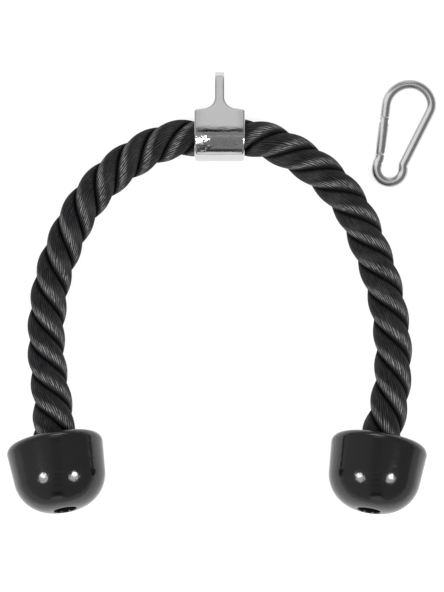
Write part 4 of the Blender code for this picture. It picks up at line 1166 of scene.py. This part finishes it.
def panel_light(name, place, target, size, power, pieces, state, shape="ELLIPSE"):
    """A flat lamp that faces its target and lights only these pieces, or all but these."""
    lamp = bpy.data.lights.new(name, "AREA")
    lamp.shape = shape
    lamp.size, lamp.size_y = size
    lamp.energy = power
    obj = new_object(name, lamp)
    obj.location = place
    obj.rotation_euler = (Vector(place) - Vector(target)).to_track_quat("Z", "Y").to_euler()
    group = bpy.data.collections.new(f"{name}_pieces")
    for piece in pieces:
        group.objects.link(piece)
    obj.light_linking.receiver_collection = group
    for item in group.collection_objects:
        item.light_linking.link_state = state


class ROPE_OT_studio(bpy.types.Operator):
    """Set up the floor, the soft lights and the camera straight above"""

    bl_idname = "rope_attachment.studio"
    bl_label = "Studio"

    def execute(self, context):
        sizes = settings().studio
        scene = context.scene
        middle = sleeve_middle()
        centre_x = middle.x + (PHOTO_SIZE[0] / 2 - sizes.photo_x) * sizes.scale
        centre_y = middle.y - (PHOTO_SIZE[1] / 2 - sizes.photo_y) * sizes.scale
        camera = bpy.data.cameras.new("camera")
        camera.sensor_width = sizes.sensor
        camera.lens = sizes.sensor * sizes.distance / (PHOTO_SIZE[1] * sizes.scale)
        camera.clip_end = 100.0
        view = new_object("camera", camera)
        view.location = (centre_x, centre_y, sizes.level + sizes.distance)
        scene.camera = view

        mesh = bpy.data.meshes.new("floor")
        half = sizes.floor / 2
        corners = [(-half, -half, 0), (half, -half, 0), (half, half, 0), (-half, half, 0)]
        mesh.from_pydata(corners, [], [(0, 1, 2, 3)])
        floor = new_object("floor", mesh)
        material, tree, shader = new_material("pale_floor", linear(settings().colours.floor), 0.9)
        shader.inputs["Emission Color"].default_value = linear("#ffffff")
        # A pool of light round the object, and a greyer floor beyond it
        place = add_node(tree, "ShaderNodeTexCoord").outputs["Object"]
        scale = (1 / sizes.pool_width, 1 / sizes.pool_depth, 0.0)
        pool = add_node(tree, "ShaderNodeMapping", None, {"Vector": place, "Scale": scale})
        away = add_node(tree, "ShaderNodeVectorMath", {"operation": "LENGTH"}, {0: pool}).outputs["Value"]
        fade = {"Value": away, "From Min": 1.0, "From Max": sizes.pool_fade}
        fade |= {"To Min": sizes.pool_glow, "To Max": sizes.far_glow}
        glow = add_node(tree, "ShaderNodeMapRange", {"interpolation_type": "SMOOTHSTEP"}, fade)
        tree.links.new(glow.outputs[0], shader.inputs["Emission Strength"])
        mesh.materials.append(material)

        world = bpy.data.worlds.new("studio")
        world.use_nodes = True
        tree = world.node_tree
        tree.nodes.clear()
        direction = add_node(tree, "ShaderNodeTexCoord").outputs["Generated"]
        parts = add_node(tree, "ShaderNodeSeparateXYZ", None, {0: direction}).outputs
        ramps = []
        for axis, greys in (("X", SIDE_SHARES), ("Y", NEAR_TO_FAR), ("X", LEFT_TO_RIGHT)):
            sine = {"Value": parts[axis], "From Min": -1.0, "From Max": 1.0}
            sine = add_node(tree, "ShaderNodeMapRange", None, sine)
            ramp = add_node(tree, "ShaderNodeValToRGB", None, {"Fac": sine})
            set_greys(ramp.color_ramp, [((place + 1) / 2, grey) for place, grey in greys])
            ramps.append(ramp)
        room = dict(zip((0, 6, 7), ramps))
        room = add_node(tree, "ShaderNodeMix", {"data_type": "RGBA"}, room)
        background = add_node(tree, "ShaderNodeBackground", None, {"Color": room.outputs[2], "Strength": 1.0})
        add_node(tree, "ShaderNodeOutputWorld", None, {"Surface": background})
        scene.world = world
        scene.view_settings.view_transform = "Standard"

        # A soft box with its bulb on either side, leaning a little to the near side
        away = sizes.box_distance
        high = away * math.cos(sizes.box_angle)
        near = -high * math.tan(sizes.box_lean)
        hook = [obj for obj in bpy.data.objects if obj.name in HOOK_PIECES]
        box, bulb = (sizes.box_size, sizes.box_shape * sizes.box_size), (sizes.bulb_size, sizes.bulb_size)
        for name, sign in (("left", -1), ("right", 1)):
            spot = Vector((sign * away * math.sin(sizes.box_angle), near, high))
            place = spot + Vector((0, -sizes.box_shift, 0))
            panel_light(f"soft_box_{name}", place, (0, 0, 0), box, sizes.box_power, hook, "EXCLUDE")
            place = sizes.bulb_place * spot
            panel_light(f"bulb_{name}", place, (0, 0, 0), bulb, sizes.bulb_power, hook, "EXCLUDE")
        # The small hook has its own panel above its far left side instead
        target = hook_place().translation
        spot = target + sizes.panel_distance * Vector(PANEL_SHARES)
        size = (sizes.panel_size, sizes.panel_shape * sizes.panel_size)
        panel_light("hook_panel", spot, target, size, sizes.panel_power, hook, "INCLUDE", "RECTANGLE")
        # A low strip at the far side draws the line along the stoppers' rims
        stoppers = [obj for obj in bpy.data.objects if obj.name.startswith("stopper_")]
        spot = (0, away * math.cos(sizes.strip_rise), away * math.sin(sizes.strip_rise))
        size = (sizes.strip_shape * sizes.strip_size, sizes.strip_size)
        panel_light("rim_strip", spot, (0, 0, 0), size, sizes.strip_power, stoppers, "INCLUDE")
        return {"FINISHED"}


class AttachmentSettings(bpy.types.PropertyGroup):
    """All sizes and colours of the attachment."""

    rope: PointerProperty(type=RopeSizes)
    collar: PointerProperty(type=CollarSizes)
    stopper: PointerProperty(type=StopperSizes)
    hook: PointerProperty(type=HookSizes)
    colours: PointerProperty(type=Colours)
    studio: PointerProperty(type=StudioSizes)


OPERATORS = (
    ROPE_OT_laid_rope,
    ROPE_OT_collar,
    ROPE_OT_stoppers,
    ROPE_OT_fixings,
    ROPE_OT_hook_frame,
    ROPE_OT_gate,
    ROPE_OT_studio,
)


class ROPE_PT_attachment(bpy.types.Panel):
    """Builds the attachment's pieces one after the other"""

    bl_label = "Rope attachment"
    bl_space_type = "VIEW_3D"
    bl_region_type = "UI"
    bl_category = "Rope attachment"

    def draw(self, context):
        for operator in OPERATORS:
            self.layout.operator(operator.bl_idname)
        for group in ("rope", "collar", "stopper", "hook", "colours", "studio"):
            box = self.layout.box()
            box.label(text=group.capitalize())
            values = getattr(context.scene.rope_attachment, group)
            for name in values.__annotations__:
                box.prop(values, name)


CLASSES = (
    RopeSizes,
    CollarSizes,
    StopperSizes,
    HookSizes,
    Colours,
    StudioSizes,
    AttachmentSettings,
    *OPERATORS,
    ROPE_PT_attachment,
)


def register():
    for item in CLASSES:
        bpy.utils.register_class(item)
    bpy.types.Scene.rope_attachment = PointerProperty(type=AttachmentSettings)


def unregister():
    del bpy.types.Scene.rope_attachment
    for item in reversed(CLASSES):
        bpy.utils.unregister_class(item)


def main():
    register()
    bpy.ops.rope_attachment.laid_rope()
    bpy.ops.rope_attachment.collar()
    bpy.ops.rope_attachment.stoppers()
    bpy.ops.rope_attachment.fixings()
    bpy.ops.rope_attachment.hook_frame()
    bpy.ops.rope_attachment.gate()
    bpy.ops.rope_attachment.studio()


if __name__ == "__main__":
    main()
